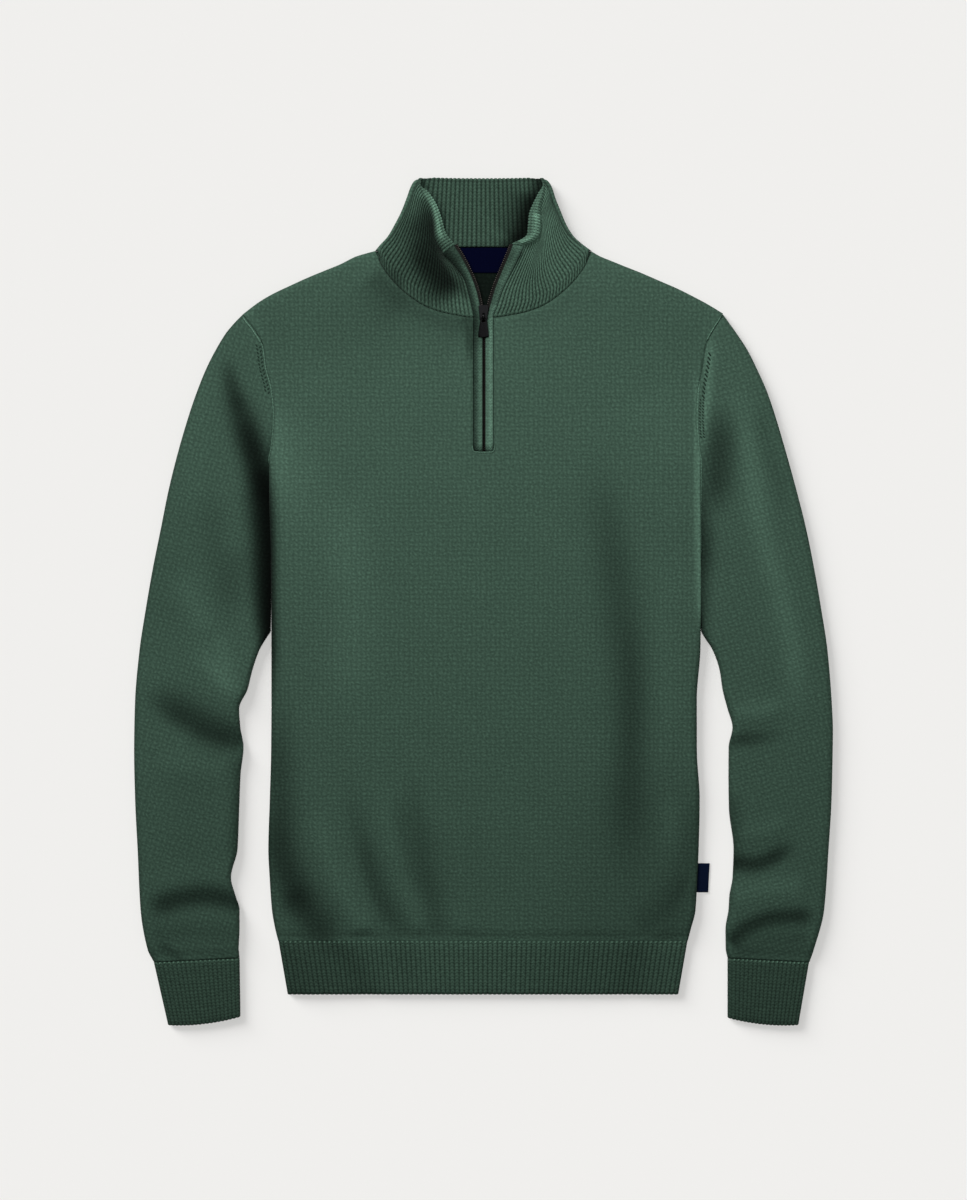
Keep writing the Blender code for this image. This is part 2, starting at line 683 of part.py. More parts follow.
def make_hem():
    top_y = HEM_SEAM_Y - SEAM
    length = top_y - HEM_BOTTOM_Y
    at, crest = ribbed(HEM_RIBS)
    depths = np.array([0, HEM_SEAM_DEPTH / length, 1 - HEM_FOOT_DEPTH / length, 1])
    plan = np.stack([
        np.stack([hem_line(at, d), np.full(len(at), top_y - d * length)], axis=1) for d in depths
    ])
    from_edge = np.minimum(plan[..., 0] - plan[:, :1, 0], plan[:, -1:, 0] - plan[..., 0])
    loft = HEM_LOFT + RIB_RELIEF * crest - np.array(HEM_DROPS)[:, None]
    top = EDGE_HEIGHT + (loft - EDGE_HEIGHT) * rolled(from_edge)
    coarse = np.array([0.0, 0.5, 1.0])
    under = np.stack([
        np.stack([hem_line(coarse, d), np.full(len(coarse), top_y - d * length)], axis=1) for d in depths
    ])
    wall("hem_front", lifted(plan, top), at, lifted(under, HEM_BACK_TOP + SEAM), coarse, "green_rib")
    plate("hem_back", lifted(under, HEM_BACK_TOP), lifted(under, 0.0), "green_rib")


def make_cuff(side):
    outer_top, outer_foot, inner_foot, inner_top, sag = CUFFS[side]
    at, crest = ribbed(CUFF_RIBS)
    coarse = np.array(CUFF_SHARES)

    def plan_at(shares):
        top = np.outer(1 - shares, outer_top) + np.outer(shares, inner_top)
        foot = np.outer(1 - shares, outer_foot) + np.outer(shares, inner_foot)
        foot[:, 1] -= sag * 4 * shares * (1 - shares)
        return np.stack([top + depth * (foot - top) for depth in CUFF_DEPTHS])

    def ring(shares, upper, lower, inset):
        plan = plan_at(shares)
        across = plan[:, -1:] - plan[:, :1]
        plan = plan + np.where(shares < 0.5, 1.0, -1.0)[None, :, None] * across * inset[None, :, None]
        low = plan_at(coarse)[:, -2:0:-1]
        at_all = np.concatenate([shares, 2 - coarse[-2:0:-1]])
        return np.concatenate([lifted(plan, upper), lifted(low, lower)], axis=1), at_all

    def from_edge(shares):
        plan = plan_at(shares)
        width = np.linalg.norm(plan[:, -1] - plan[:, 0], axis=1)[:, None]
        return np.minimum(shares, 1 - shares) * width

    loft = CUFF_LOFT - RIB_RELIEF * (1 - crest) - np.array(CUFF_DROPS)[:, None]
    upper = SIDE_HEIGHT + (loft - SIDE_HEIGHT) * rolled(from_edge(at))
    outer, outer_at = ring(at, upper, 0.0, np.zeros(len(at)))
    hollow_foot, hollow_top = CUFF_HOLLOW
    at_side = np.minimum(coarse, 1 - coarse) < CUFF_SIDE
    inset = np.where(at_side, CUFF_SIDE, 0.0)
    inner_upper = np.where(at_side, SIDE_HEIGHT + SEAM / 3, hollow_top)
    inner_upper = np.broadcast_to(inner_upper, (len(CUFF_DEPTHS), len(coarse)))
    inner, inner_at = ring(coarse, inner_upper, hollow_foot, inset)
    return wall(f"cuff_{NAMES[side]}", outer, outer_at, inner, inner_at, "green_rib", ring=True)


# ---- Collar

def zip_line(side):
    """The outer and the inner edge of a zip facing in plan, and the height of its crown."""
    rows = np.array(BAND_ROWS[side])
    outer = np.stack([rows[:, 1], rows[:, 0]], axis=1)
    inner = np.stack([rows[:, 3], rows[:, 2]], axis=1)
    return outer, inner, rows[:, 4]


def facing_end(side):
    """The two corners of a facing's upper end in plan, a seam's gap beyond it: the outer one first."""
    outer, inner, _ = zip_line(side)
    across = (outer[-1] - inner[-1]) / np.linalg.norm(outer[-1] - inner[-1])
    beyond = np.array([across[1], -across[0]])
    beyond *= np.sign(beyond[1])
    return outer[-1] + CURVED_SEAM * (beyond + across), inner[-1] + CURVED_SEAM * beyond


def side_fold(side, share):
    """Plan points on the collar's outline, from its seam to its top."""
    first, last = COLLAR_SIDE[0][0], COLLAR_SIDE[-1][0]
    y = first + share * (last - first)
    return np.stack([SIGN[side] * read(COLLAR_SIDE, side, y), y], axis=-1)


def wing_edges(side):
    """The four edges of a front wing in plan: seam, rolled top, side fold and zip edge."""
    sign = SIGN[side]
    neck = np.array([(sign * x, y) for x, y in NECKLINE[::-1]])
    seam = beside(neck, -sign * CURVED_SEAM)
    inset = NECK_HALF - side_fold(side, 0.0)[0] * sign + FOLD_INSET
    keep = np.abs(seam[:, 0]) < NECK_HALF - inset
    start_x = NECK_HALF - inset
    start_y = np.interp(start_x, np.abs(seam[::-1, 0]), seam[::-1, 1])
    seam = np.concatenate([[(sign * start_x, start_y)], seam[keep]])
    y = np.linspace(start_y, FOLD_TOP_Y, 9)
    fold = np.stack([sign * (read(COLLAR_SIDE, side, y) - FOLD_INSET), y], axis=1)
    band = beside(zip_line(side)[0][CLOSED_ROWS - 1:], -sign * CURVED_SEAM)
    band[-1] = facing_end(side)[0]
    seam[-1] = band[0]
    return seam, np.array(ROLL_OUTER[side]), fold, band


def wing_plan(side, a, v):
    """Plan points of a wing: a from the side fold to the zip, v from the seam to the rolled edge's end."""
    seam, roll, fold, band = wing_edges(side)
    roll = roll.copy()
    roll[0], roll[-1] = fold[-1], band[-1]
    low, high = along(seam, a), along(roll, a)
    rows = []
    for share in np.minimum(v / ROLL_FROM, 1.0):
        start, end = along(fold, [share])[0], along(band, [share])[0]
        corners = (
            np.outer(1 - a, (1 - share) * low[0] + share * high[0])
            + np.outer(a, (1 - share) * low[-1] + share * high[-1])
        )
        straight = (1 - share) * low + share * high
        sides = np.outer(1 - a, start) + np.outer(a, end)
        rows.append(straight + sides - corners)
    plan = np.stack(rows)
    inner = np.array(ROLL_INNER[side], float)
    inner[0] = roll[0] + (-SIGN[side] * ROLL_TURN[0], ROLL_TURN[1])
    inner[-1] = facing_end(side)[1]
    rest = np.clip((v - ROLL_FROM) / (1 - ROLL_FROM), 0, 1)[:, None, None]
    return plan + rest * (along(inner, a) - high)


def wing_height(a, v):
    table = np.array(WING_HEIGHTS)
    columns = np.stack([np.interp(a, WING_STATIONS, row[1:]) for row in table])
    return np.stack([[np.interp(d, table[:, 0], columns[:, k]) for k in range(len(a))] for d in v])


def back_collar_y(x, share):
    low = back_neck(x) + CURVED_SEAM
    high = COLLAR_TOP_Y - COLLAR_DIP * (1 - (x / COLLAR_TOP_HALF) ** 2)
    return low + share * (high - low)


def make_collar():
    v = np.array([row[0] for row in WING_HEIGHTS])
    climb = np.where(v <= ROLL_FROM, v / ROLL_FROM * ROLL_START,
                     ROLL_START + (v - ROLL_FROM) / (1 - ROLL_FROM) * (1 - ROLL_START))
    places, crest = ribbed(WING_RIBS)
    coarse = np.array(WING_INSIDE)

    def wing(side):
        plan = wing_plan(side, places, v)
        height = wing_height(places, v)
        fade = np.clip(np.minimum(v, 1 - v) / RIB_EDGE, RIB_EDGE_LEAST, 1)[:, None]
        return lifted(plan, height + (crest - 0.5) * RIB_RELIEF * fade)

    def under(side):
        plan = wing_plan(side, coarse, v)
        return lifted(plan, np.maximum(WING_UNDER, wing_height(coarse, v) - COLLAR_WALL))

    def fold_outside(side):
        outline = side_fold(side, climb)
        inward = np.array([-SIGN[side], 0.0])
        return np.stack([lifted(outline + inset * inward, z) for inset, z in FOLD_SECTION], axis=1)

    def fold_inside(side):
        inset, z = FOLD_HOLLOW
        return lifted(side_fold(side, climb) + np.array([-SIGN[side] * inset, 0.0]), z)[:, None]

    def back_row(x):
        return np.stack([x, back_collar_y(x, climb[:, None])], axis=-1)

    flat_shares = np.linspace(0, 1, BACK_STATIONS)[1:-1]
    reach = {side: np.abs(side_fold(side, climb)[:, 0]) - FOLD_INSET for side in (LEFT, RIGHT)}
    flat_x = -reach[LEFT][:, None] + flat_shares * (reach[LEFT] + reach[RIGHT])[:, None]
    underside = lifted(back_row(flat_x), 0.0)

    back_places, back_crest = ribbed(BACK_RIBS)
    top_x = -BACK_TOP_HALF[LEFT] + back_places * (BACK_TOP_HALF[LEFT] + BACK_TOP_HALF[RIGHT])
    spread = RIB_SPREAD * top_x
    spread += np.sign(top_x) * SIDE_SPREAD * np.maximum(0, np.abs(top_x) - OUTER_RIBS_FROM) ** 2
    rib_x = top_x + (1 - climb[:, None]) * (spread - top_x)
    inside = lifted(back_row(rib_x), COLLAR_BACK_TOP + back_crest * RIB_RELIEF)

    outer = np.concatenate([
        wing(LEFT)[:, ::-1], fold_outside(LEFT), underside, fold_outside(RIGHT)[:, ::-1], wing(RIGHT)
    ], axis=1)
    inner = np.concatenate([
        under(LEFT)[:, ::-1], fold_inside(LEFT), inside, fold_inside(RIGHT), under(RIGHT)
    ], axis=1)
    # Places round the collar: 0 to 1 on the left wing, 1 to 2 on its fold, 2 to 3 on the back, and so on.
    fold_shares = np.linspace(0, 1, len(FOLD_SECTION) + 2)[1:-1]
    outer_at = np.concatenate([1 - places[::-1], 1 + fold_shares, 2 + flat_shares, 3 + fold_shares, 4 + places])
    inner_at = np.concatenate([1 - coarse[::-1], [1.5], 2 + back_places, [3.5], 4 + coarse])
    return wall("collar", outer, outer_at, inner, inner_at, "green_rib")


# ---- Zip

def make_band(side):
    outer, inner, crown = zip_line(side)
    section = np.array(BAND_SECTION)
    shares = section[:, 0]
    plan = outer[:, None] + shares[:, None] * (inner - outer)[:, None]
    top = crown[:, None] - BAND_ROUND * section[:, 1]
    ends = np.array([0.0, 1.0])
    under = outer[:, None] + ends[:, None] * (inner - outer)[:, None]
    return wall(
        f"zip_band_{NAMES[side]}", lifted(plan, top), shares,
        lifted(under, (crown - BAND_WALL)[:, None]), ends, "green_knit",
    )


def tape_edges(side):
    """The two edges of a zip tape in plan: the one under its facing, and the lip beyond it."""
    outer, inner, crown = zip_line(side)
    across = inner - outer
    across /= np.linalg.norm(across, axis=1)[:, None]
    lip = np.where(np.arange(len(inner)) < CLOSED_ROWS - 1, CLOSED_LIP, OPEN_LIP)
    lip[CLOSED_ROWS - 1] = min(OPEN_LIP, np.abs(inner[CLOSED_ROWS - 1, 0]) - SEAM / 2)
    lip[CLOSED_ROWS] = min(OPEN_LIP, np.abs(inner[CLOSED_ROWS, 0]) - 2 * SEAM)
    return inner - TAPE_UNDER_BAND * across, inner + lip[:, None] * across, crown


def make_tape(side):
    under, lip, crown = tape_edges(side)
    top = crown - BAND_WALL - TAPE_GAP
    plan = np.stack([under, lip], axis=1)
    return plate(
        f"zip_tape_{NAMES[side]}", lifted(plan, top[:, None]), lifted(plan, (top - TAPE_WALL)[:, None]), "zip_tape"
    )


def block(name, x, y, z, finish):
    """A box between pairs of limits; x may be a pair for each end of y."""
    low, high = x if np.ndim(x[0]) else (x, x)
    plan = np.array([[(low[0], y[0]), (low[1], y[0])], [(high[0], y[1]), (high[1], y[1])]], float)
    return plate(name, lifted(plan, z[1]), lifted(plan, z[0]), finish)


def bridge_solid():
    """The slider's bridge, a low arch that the pull tab's bar passes under."""
    y, z = np.array(BRIDGE_Y), np.array([SLIDER_TOP - BRIDGE_SINK, BRIDGE_HOLE_TOP, BRIDGE_TOP])
    grid = np.stack(np.meshgrid(y, z), axis=-1)
    sides = []
    for x in (-BRIDGE_HALF, BRIDGE_HALF):
        sides.append(np.concatenate([np.full(grid.shape[:2], x)[..., None], grid], axis=-1))
    keep = np.array([[True, False, True], [True, True, True]])
    return plate("zip_slider_bridge", sides[0], sides[1], "zip_metal", keep)


def make_slider():
    feet, heads = SLIDER_FOOT_HALF, SLIDER_HEAD_HALF
    body = block(
        "zip_slider", ((-feet, feet), (-heads, heads)), (SLIDER_FOOT_Y, SLIDER_HEAD_Y),
        (SLIDER_UNDER, SLIDER_TOP), "zip_metal",
    )
    bridge = bridge_solid()
    bridge.hide_render = True
    bridge.display_type = "WIRE"
    joined = body.modifiers.new("bridge", "BOOLEAN")
    joined.operation = "UNION"
    joined.object = bridge
    return body


def make_pull():
    """The pull tab, with its origin on its pivot. It lies towards the hem and leans down to the facings."""
    y = np.array([BAR_HALF, -BAR_HALF, -BAR_HALF - WINDOW_LENGTH, -PULL_LENGTH])
    half = HEAD_HALF + (TIP_HALF - HEAD_HALF) * np.clip((-y - BAR_HALF) / PULL_LENGTH, 0, 1)
    x = np.stack([-half, np.full(4, -WINDOW_HALF), np.full(4, WINDOW_HALF), half], axis=1)
    z = PULL_DROP * y / PULL_LENGTH
    plan = np.stack([x, np.repeat(y[:, None], 4, axis=1)], axis=-1)
    keep = np.ones((3, 3), bool)
    keep[1, 1] = False
    top = lifted(plan, z[:, None] + PULL_THICK / 2)
    tab = plate("zip_pull", top, lifted(plan, z[:, None] - PULL_THICK / 2), "zip_metal", keep)
    tab.location = (0.0, PIVOT_Y * MM, PIVOT_Z * MM)
    return tab


# ---- Labels

def make_labels():
    left, right, foot, head = NECK_LABEL
    block("neck_label", (left, right), (foot, head), (WALL + SEAM, WALL + SEAM + LABEL_THICK), "navy_label")
    ends = []
    for y in SIDE_LABEL_Y:
        edge = read(SIDE_SEAM, RIGHT, y) + CURVED_SEAM
        ends.append((edge, edge + SIDE_LABEL_WIDTH))
    block("side_label", ends, SIDE_LABEL_Y, (0.0, SIDE_LABEL_THICK), "navy_label")


def main():
    clear_scene()
    make_back()
    make_front()
    make_hem()
    make_collar()
    for side in (LEFT, RIGHT):
        make_sleeve(side)
        make_cuff(side)
        make_band(side)
        make_tape(side)
    make_slider()
    make_pull()
    make_labels()


main()
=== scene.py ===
# %% [markdown]
# # A quarter zip sweater, laid flat
# This lesson dresses a plain model of a knitted sweater. The plain model fixes every size and every joint.
# The lesson makes the cloth, the ribs, the zip and the sewing around it. Lengths are in millimetres, and each
# mesh is written in metres. Left and right are those of someone who looks down at the front.

# %% Load the frame
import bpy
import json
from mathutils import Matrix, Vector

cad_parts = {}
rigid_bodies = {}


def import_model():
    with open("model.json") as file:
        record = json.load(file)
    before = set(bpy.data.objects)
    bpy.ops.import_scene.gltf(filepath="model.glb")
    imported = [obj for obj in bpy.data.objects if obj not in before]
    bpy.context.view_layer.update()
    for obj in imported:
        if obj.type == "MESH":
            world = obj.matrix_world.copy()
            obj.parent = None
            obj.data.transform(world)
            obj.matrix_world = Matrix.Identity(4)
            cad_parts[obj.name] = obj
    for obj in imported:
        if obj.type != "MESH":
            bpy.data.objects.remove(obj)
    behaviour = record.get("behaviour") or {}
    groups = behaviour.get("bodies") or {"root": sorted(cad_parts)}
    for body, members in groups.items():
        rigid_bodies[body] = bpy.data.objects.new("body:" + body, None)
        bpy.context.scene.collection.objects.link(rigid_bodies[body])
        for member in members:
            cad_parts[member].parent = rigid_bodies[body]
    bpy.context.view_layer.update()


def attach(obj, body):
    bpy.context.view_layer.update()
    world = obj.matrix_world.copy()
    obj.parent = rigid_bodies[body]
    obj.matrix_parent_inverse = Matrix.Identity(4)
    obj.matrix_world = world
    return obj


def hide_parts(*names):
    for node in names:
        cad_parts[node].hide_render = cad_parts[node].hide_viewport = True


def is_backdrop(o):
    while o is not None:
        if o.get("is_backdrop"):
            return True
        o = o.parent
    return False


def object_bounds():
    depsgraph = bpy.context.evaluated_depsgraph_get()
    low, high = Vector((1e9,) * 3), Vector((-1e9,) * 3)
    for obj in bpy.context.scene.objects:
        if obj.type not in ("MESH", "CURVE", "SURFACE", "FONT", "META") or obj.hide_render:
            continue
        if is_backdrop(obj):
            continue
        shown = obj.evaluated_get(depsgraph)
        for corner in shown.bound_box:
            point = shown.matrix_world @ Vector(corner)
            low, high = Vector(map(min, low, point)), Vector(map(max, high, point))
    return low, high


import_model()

# %% Tools of the lesson
import json
import math

import bmesh
import bpy
import numpy as np

MM = 0.001
LEFT, RIGHT = 1, 2
SIGN = {LEFT: -1.0, RIGHT: 1.0}
NAMES = {LEFT: "left", RIGHT: "right"}
SWEATER, PULL_TAB = "sweater", "pull_tab"

# %% [markdown]
# ## Camera, floor and light
# The sweater is looked at from straight above, through a long lens that keeps its proportions. One pixel of the
# finished picture covers 0.97 mm of cloth, which gives the height of the camera. A floor could be a box or a
# plane: a large plane is enough, because only its upper side is seen.

# %% Camera
PICTURE_HEIGHT = 1200
PIXEL = 0.97
LENS, SENSOR = 85.0, 36.0
CAMERA_Y = 1.9
CLOTH_HEIGHT = 7.0

scene = bpy.context.scene
camera_data = bpy.data.cameras.new("camera")
camera_data.lens = LENS
camera_data.sensor_width = SENSOR
camera = bpy.data.objects.new("camera", camera_data)
camera.location = (0.0, CAMERA_Y * MM, (PICTURE_HEIGHT * PIXEL * LENS / SENSOR + CLOTH_HEIGHT) * MM)
scene.collection.objects.link(camera)
scene.camera = camera
print("camera height", round(camera.location.z, 3))

# %% Floor
FLOOR_HALF, FLOOR_DROP = 4.0, 0.3
FLOOR_PAINT = {"Base Color": (0.862, 0.855, 0.838, 1), "Roughness": 0.95, "Specular IOR Level": 0.1}


def paint(name, values):
    """A material whose shader has these values, and the shader."""
    made = bpy.data.materials.new(name)
    made.use_nodes = True
    shader = made.node_tree.nodes["Principled BSDF"]
    for label, value in values.items():
        shader.inputs[label].default_value = value
    return made, shader


floor_mesh = bpy.data.meshes.new("floor")
corners = [(x * FLOOR_HALF, y * FLOOR_HALF, -FLOOR_DROP * MM) for x, y in ((-1, -1), (1, -1), (1, 1), (-1, 1))]
floor_mesh.from_pydata(corners, [], [(0, 1, 2, 3)])
floor = bpy.data.objects.new("floor", floor_mesh)
scene.collection.objects.link(floor)
floor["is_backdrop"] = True
floor_mesh.materials.append(paint("floor_paint", FLOOR_PAINT)[0])
print("floor", 2 * FLOOR_HALF, "metres wide")

# %% [markdown]
# A dim white room gives a little light from everywhere. A large lamp above the left shoulder models the folds,
# and a wide one above the neck fills them, so the cloth grows darker towards the hem. These two reach only the
# sweater. Two suns reach only the floor: one stands straight above and leaves no shadow, and a weaker one from
# the upper left leaves the short soft shadow to the right of each edge and below it. Light linking keeps them
# apart, so the floor stays as even as studio paper.

# %% Light
ROOM_LIGHT, ROOM_SEEN = 0.16, 0.86
# name, place in metres, width, power in watts
LAMPS = (("key", (-0.70, 1.30, 1.40), 0.8, 29.0), ("fill", (0.10, 0.55, 0.95), 1.3, 7.8))
# name, tilt, angle across the sky in degrees, strength
SUNS = (("floor_light", (0.0, 0.0, 0.0), 8.0, 1.68), ("floor_shadow", (-38.5, -61.5, 0.0), 30.0, 2.66))

scene.view_settings.view_transform = "Standard"
room = bpy.data.worlds.new("room")
scene.world = room
room.use_nodes = True
room_nodes, room_links = room.node_tree.nodes, room.node_tree.links
seen = room_nodes.new("ShaderNodeLightPath").outputs["Is Camera Ray"]
strength = room_nodes.new("ShaderNodeMapRange")
strength.inputs["To Min"].default_value = ROOM_LIGHT
strength.inputs["To Max"].default_value = ROOM_SEEN
room_links.new(seen, strength.inputs["Value"])
room_links.new(strength.outputs[0], room_nodes["Background"].inputs["Strength"])
room_nodes["Background"].inputs["Color"].default_value = (1.0, 1.0, 1.0, 1)

cloth_light = bpy.data.collections.new("lit_by_lamps")
floor_light = bpy.data.collections.new("lit_by_suns")
floor_light.objects.link(floor)


def add_lamp(name, kind, place, power, receivers):
    data = bpy.data.lights.new(name, kind)
    data.energy = power
    lamp = bpy.data.objects.new(name, data)
    lamp.location = place
    lamp.light_linking.receiver_collection = receivers
    scene.collection.objects.link(lamp)
    return lamp


for name, place, width, power in LAMPS:
    lamp = add_lamp(name, "AREA", place, power, cloth_light)
    lamp.data.shape = "DISK"
    lamp.data.size = width
    lamp.rotation_euler = lamp.location.to_track_quat("Z", "Y").to_euler()
for name, tilt, width, power in SUNS:
    sun = add_lamp(name, "SUN", (0, 0, 2), power, floor_light)
    sun.data.angle = math.radians(width)
    sun.rotation_euler = [math.radians(a) for a in tilt]
print("lights:", [lamp[0] for lamp in LAMPS + SUNS])

# %% [markdown]
# ## Shared effects
# Four effects are used by more than one material: the dotted knit, the small V stitches of a rib or a plain
# knit, the loose fibres of wool, and a tone that paints shade into troughs and highlight onto ridges. Each is a
# node group with named inputs, so every cloth uses it with its own values. The groups give only heights, masks and
# colours.

# %% Helpers for nodes
def add_node(tree, kind, settings=None, **inputs):
    """Adds a node. An input is a number, a colour or another node's output socket."""
    made = tree.nodes.new(kind)
    for name, value in (settings or {}).items():
        setattr(made, name, value)
    for name, value in inputs.items():
        socket = made.inputs[int(name[1:]) if name[1:].isdigit() else name.replace("_", " ")]
        if isinstance(value, bpy.types.NodeSocket):
            tree.links.new(value, socket)
        else:
            socket.default_value = value
    return made


def new_group(name, inputs, outputs):
    """Starts a node group. Each input is (name, kind, value at rest), each output (name, kind)."""
    tree = bpy.data.node_groups.new(name, "ShaderNodeTree")
    for label, kind, value in inputs:
        socket = tree.interface.new_socket(label, in_out="INPUT", socket_type=kind)
        if value is not None:
            socket.default_value = value
    for label, kind in outputs:
        tree.interface.new_socket(label, in_out="OUTPUT", socket_type=kind)
    print("group", name, "gives", [label for label, kind in outputs])
    return tree, tree.nodes.new("NodeGroupInput").outputs, tree.nodes.new("NodeGroupOutput").inputs


def use_group(tree, name, **inputs):
    return add_node(tree, "ShaderNodeGroup", {"node_tree": bpy.data.node_groups[name]}, **inputs).outputs


def sums(tree, operation, first, second=0.0, third=0.0):
    """The output of a Math node."""
    return add_node(tree, "ShaderNodeMath", {"operation": operation}, _0=first, _1=second, _2=third).outputs[0]


def vectors(tree, operation, first, **others):
    """The output of a Vector Math node."""
    return add_node(tree, "ShaderNodeVectorMath", {"operation": operation}, _0=first, **others).outputs[0]


def noise(tree, cut, scale, detail, roughness=0.5):
    """The outputs of a noise on the flat cloth."""
    inputs = {"Vector": cut, "Scale": scale, "Detail": detail, "Roughness": roughness}
    return add_node(tree, "ShaderNodeTexNoise", {"noise_dimensions": "2D"}, **inputs).outputs


# %% [markdown]
# The body is knitted in a fine dotted pattern: raised stitches about 4.6 mm apart with small pits between them.
# Two waves at right angles give such a lattice, but a real one wanders. So a slow noise bends the coordinates
# first, and a noise of the stitches' own size makes each of them different.

# %% Dotted knit
FLOAT, VECTOR, COLOUR = "NodeSocketFloat", "NodeSocketVector", "NodeSocketColor"

DRIFT_SIZE, GRAIN_SIZE = 110.0, 480.0
SLANT_SHARE, WAVE_HEIGHT, GRAIN_HEIGHT, GRAIN_BASE = 0.6, 0.24, 1.4, -0.20

tree, start, end = new_group(
    "dotted_knit",
    [("Cut", VECTOR, None), ("Dots per Metre", FLOAT, 215.0), ("Unevenness", FLOAT, 0.006)],
    [("Height", FLOAT), ("Pits", FLOAT)],
)
drift = vectors(tree, "SUBTRACT", noise(tree, start["Cut"], DRIFT_SIZE, 2.0)["Color"], _1=(0.5, 0.5, 0.5))
drift = vectors(tree, "SCALE", drift, _3=start["Unevenness"])
moved = add_node(tree, "ShaderNodeSeparateXYZ", Vector=vectors(tree, "ADD", start["Cut"], _1=drift)).outputs
turns = sums(tree, "MULTIPLY", start["Dots per Metre"], 2 * math.pi)
ways = (moved["X"], moved["Y"], sums(tree, "ADD", moved["X"], moved["Y"]))
wave_x, wave_y, slant = (sums(tree, "COSINE", sums(tree, "MULTIPLY", way, turns)) for way in ways)
crossed = sums(tree, "ADD", sums(tree, "ADD", wave_x, wave_y), sums(tree, "MULTIPLY", slant, SLANT_SHARE))
grain = sums(tree, "MULTIPLY_ADD", noise(tree, start["Cut"], GRAIN_SIZE, 0.5)["Fac"], GRAIN_HEIGHT, GRAIN_BASE)
raised = sums(tree, "MULTIPLY_ADD", crossed, WAVE_HEIGHT, grain)
tree.links.new(raised, end["Height"])
tree.links.new(sums(tree, "SUBTRACT", 1.0, raised), end["Pits"])

# %% [markdown]
# A knit stitch looks like a small V. The V comes from a wave along the row of stitches that is pushed back
# further the further it is from the middle of the row.

# %% V stitches
WOBBLE_SIZE, WOBBLE_PUSH, WOBBLE_HEIGHT, STITCH_HEIGHT = 240.0, 0.9, 0.8, 0.6

tree, start, end = new_group(
    "v_stitches",
    [("Cut", VECTOR, None), ("Rows per Metre", FLOAT, 222.0), ("Stitches per Metre", FLOAT, 420.0),
     ("Slant", FLOAT, 1.1)],
    [("Height", FLOAT), ("Gaps", FLOAT)],
)
place = add_node(tree, "ShaderNodeSeparateXYZ", Vector=start["Cut"]).outputs
across = sums(tree, "FRACT", sums(tree, "MULTIPLY", place["X"], start["Rows per Metre"]))
off_middle = sums(tree, "ABSOLUTE", sums(tree, "SUBTRACT", across, 0.5))
along_row = sums(tree, "MULTIPLY", place["Y"], start["Stitches per Metre"])
wobble = noise(tree, start["Cut"], WOBBLE_SIZE, 2.0)["Fac"]
pushed = sums(tree, "MULTIPLY_ADD", off_middle, start["Slant"], along_row)
pushed = sums(tree, "MULTIPLY_ADD", wobble, WOBBLE_PUSH, pushed)
wave = sums(tree, "SINE", sums(tree, "MULTIPLY", pushed, 2 * math.pi))
wave = sums(tree, "MULTIPLY", sums(tree, "MULTIPLY_ADD", wave, 0.5, 0.5), STITCH_HEIGHT)
uneven = sums(tree, "MULTIPLY_ADD", wobble, WOBBLE_HEIGHT, wave)
tree.links.new(uneven, end["Height"])
tree.links.new(sums(tree, "SUBTRACT", 1.0, uneven), end["Gaps"])

# %% [markdown]
# Wool is never one flat colour: fibres of two or three greens are spun together, and loose ends catch the light.
# One fine noise stands for single fibres, and one coarse noise for the slow change from row to row.

# %% Wool fibres
FIBRE_SIZE, SLOW_SIZE, SLOW_SHARE = 620.0, 26.0, 0.2

tree, start, end = new_group(
    "wool_fibres",
    [("Cut", VECTOR, None), ("Colour", COLOUR, (0.05, 0.09, 0.07, 1)), ("Mottle", FLOAT, 0.2)],
    [("Colour", COLOUR), ("Height", FLOAT)],
)
fine, slow = noise(tree, start["Cut"], FIBRE_SIZE, 3.0, 0.7)["Fac"], noise(tree, start["Cut"], SLOW_SIZE, 2.0)["Fac"]
both = sums(tree, "MULTIPLY_ADD", slow, SLOW_SHARE, sums(tree, "MULTIPLY", fine, 1 - SLOW_SHARE))
gain = sums(tree, "MULTIPLY_ADD", sums(tree, "SUBTRACT", both, 0.5), start["Mottle"], 1.0)
tree.links.new(vectors(tree, "SCALE", start["Colour"], _3=gain), end["Colour"])
tree.links.new(fine, end["Height"])

# %% [markdown]
# Light and shade are also painted into the colour. Each cloth mesh carries a number called tone, counted in
# stops as on a camera: minus one halves the colour. Below 0 it is painted shade, in troughs, creases and on
# edges turned from the light; above 0 it is painted highlight, on ridges.

# %% Tone
tree, start, end = new_group(
    "tone_by_stops", [("Colour", COLOUR, (0.05, 0.09, 0.07, 1)), ("Stops", FLOAT, 0.0)], [("Colour", COLOUR)]
)
factor = sums(tree, "POWER", 2.0, start["Stops"])
tree.links.new(vectors(tree, "SCALE", start["Colour"], _3=factor), end["Colour"])

# %% [markdown]
# ## Cloth materials
# Every cloth mesh has a map called cut, which holds the place on the flat cloth in metres. The textures read
# that map, so the stitches follow the cloth and don't slide when it moves.

# %% Cloth
CUT_MAP, TONE = "cut", "tone"
FIBRE_DEPTH = 0.00012


def start_material(name, roughness, metallic=0.0, sheen=0.0, specular=0.5):
    """A material and its shader."""
    return paint(name, {"Roughness": roughness, "Metallic": metallic, "Sheen Weight": sheen,
                        "Sheen Roughness": 0.45, "Specular IOR Level": specular})


def cut_of(tree):
    return add_node(tree, "ShaderNodeUVMap", {"uv_map": CUT_MAP}).outputs[0]


def tone_of(tree):
    return add_node(tree, "ShaderNodeAttribute", {"attribute_name": TONE}).outputs["Fac"]


